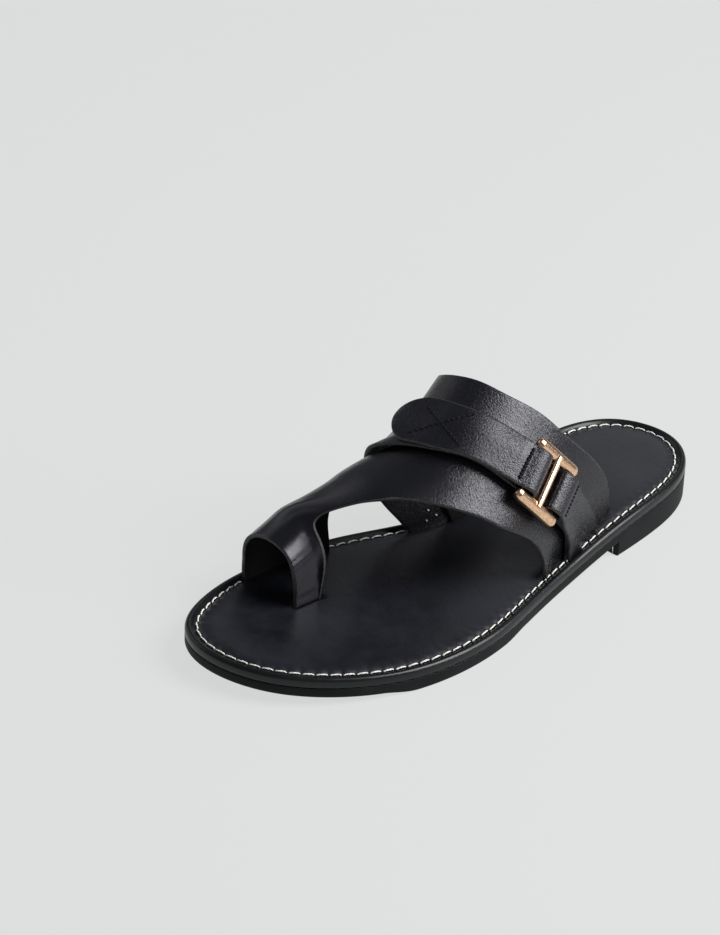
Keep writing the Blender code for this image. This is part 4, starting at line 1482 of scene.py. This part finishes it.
turn = np.linspace(0, 2 * math.pi, 48, endpoint=False)
spread = np.where(np.cos(turn) >= 0, 1, -1) * (RAIL_LENGTH - RAIL_WIDTH) / 2
round_end = np.column_stack([np.cos(turn), np.sin(turn)]) * RAIL_WIDTH / 2
for side in (-1, 1):
    base = centre + side * (BAR_LENGTH / 2) * across
    rings = []
    for height, width in RAIL_PROFILE:
        u = spread + round_end[:, 0] * width
        w = round_end[:, 1] * width
        rings.append(base + np.outer(u, along) + np.outer(w, across) + up * height * RAIL_THICKNESS)
    add_rings(rings)
for place in (-BAR_SPACING, 0.0, BAR_SPACING):
    lift, radius = (MIDDLE_BAR_LIFT, MIDDLE_BAR_RADIUS) if place == 0 else (0.0, BAR_RADIUS)
    middle = centre + along * place + up * lift
    ring = np.linspace(0, 2 * math.pi, 20, endpoint=False)
    circle = np.outer(np.cos(ring), along) + np.outer(np.sin(ring), up)
    rings = [
        middle + across * reach + circle * radius
        for reach in np.linspace(-BAR_LENGTH / 2, BAR_LENGTH / 2, 9)
    ]
    add_rings(rings)
buckle = add_piece("ladder_buckle", np.vstack(points), faces, [rose_gold])
buckle.data.set_sharp_from_angle(angle=math.radians(50))
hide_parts("buckle")

# STUDIO
# Plain pale paper under soft light: one large softbox high behind the heel on the outer side,
# a low one under it that lines the straps with a highlight, and weak fills from the other
# sides. The camera has the photograph's own angle.

# Seamless paper: dull pale grey, without a texture. It gives off most of its own brightness,
# so that it stays even where the lamps fall off.
paper, shader = new_material(
    "backdrop_paper", "#4A4B4B", Roughness=0.9, Emission_Color=linear("#DDDFDE"),
    Emission_Strength=0.885,
)
FLOOR_SIZE = 400.0
bpy.ops.mesh.primitive_plane_add(size=FLOOR_SIZE, location=(0, 0, 0))
floor = bpy.context.object
floor.name = "paper_floor"
floor.data.materials.append(paper)

world = bpy.data.worlds.new("studio")
bpy.context.scene.world = world
world.use_nodes = True
world.node_tree.nodes["Background"].inputs["Color"].default_value = linear("#D6DCE6")
world.node_tree.nodes["Background"].inputs["Strength"].default_value = 0.2

SOFTBOXES = (
    # name, place, aimed at, width, height: all in metres, and power in watts
    ("main_box", (0.78, 0.63, 1.12), (0, 0, 0.03), 0.8, 0.95, 29.0),
    ("low_box", (1.13, 0.98, 0.54), (0, 0, 0.06), 0.75, 0.36, 7.5),
    ("far_card", (-1.15, 1.6, 1.05), (0, 0.1, 0), 0.8, 0.8, 1.1),
    ("left_card", (-1.4, -0.5, 0.8), (0, 0, 0.03), 1.4, 1.1, 2.8),
    ("front_fill", (1.3, -1.3, 0.7), (0, 0, 0.03), 0.8, 0.6, 0.4),
)
for name, place, target, width, height, power in SOFTBOXES:
    light = bpy.data.lights.new(name, "AREA")
    light.shape = "RECTANGLE"
    light.size = width
    light.size_y = height
    light.energy = power
    lamp = bpy.data.objects.new(name, light)
    bpy.context.scene.collection.objects.link(lamp)
    back = unit(np.array(place, float) - np.array(target, float))
    right = unit(np.cross([0, 0, 1], back))
    turned = np.eye(4)
    turned[:3, 0], turned[:3, 1], turned[:3, 2] = right, np.cross(back, right), back
    turned[:3, 3] = place
    lamp.matrix_world = Matrix(turned.tolist())

AZIMUTH, ELEVATION, ROLL = 47.40, 31.74, 1.85
CAMERA_DISTANCE = 1195.0
LOOK_OFF = (39.1, -42.1)      # millimetres from the view's axis to the last's origin
FOCAL_PIXELS = 2939.0         # focal length in pixels of a picture of this height
PICTURE_HEIGHT = 935.0
SENSOR = 36.0
az, el, roll = (math.radians(v) for v in (AZIMUTH, ELEVATION, ROLL))
back = np.array([math.sin(az) * math.cos(el), -math.cos(az) * math.cos(el), math.sin(el)])
level = np.array([math.cos(az), math.sin(az), 0.0])
over = np.cross(back, level)
right = level * math.cos(roll) + over * math.sin(roll)
over = -level * math.sin(roll) + over * math.cos(roll)
axes = np.array([right, over, back])
place = np.linalg.solve(axes, np.array([-LOOK_OFF[0], -LOOK_OFF[1], CAMERA_DISTANCE]))
camera_data = bpy.data.cameras.new("photo_camera")
camera_data.lens = FOCAL_PIXELS / PICTURE_HEIGHT * SENSOR
camera_data.clip_end = 1.5 * FLOOR_SIZE
camera = bpy.data.objects.new("photo_camera", camera_data)
bpy.context.scene.collection.objects.link(camera)
turned = np.eye(4)
turned[:3, :3] = axes.T
turned[:3, 3] = placed([place])[0]
camera.matrix_world = Matrix(turned.tolist())
bpy.context.scene.camera = camera
bpy.context.scene.view_settings.view_transform = "Standard"
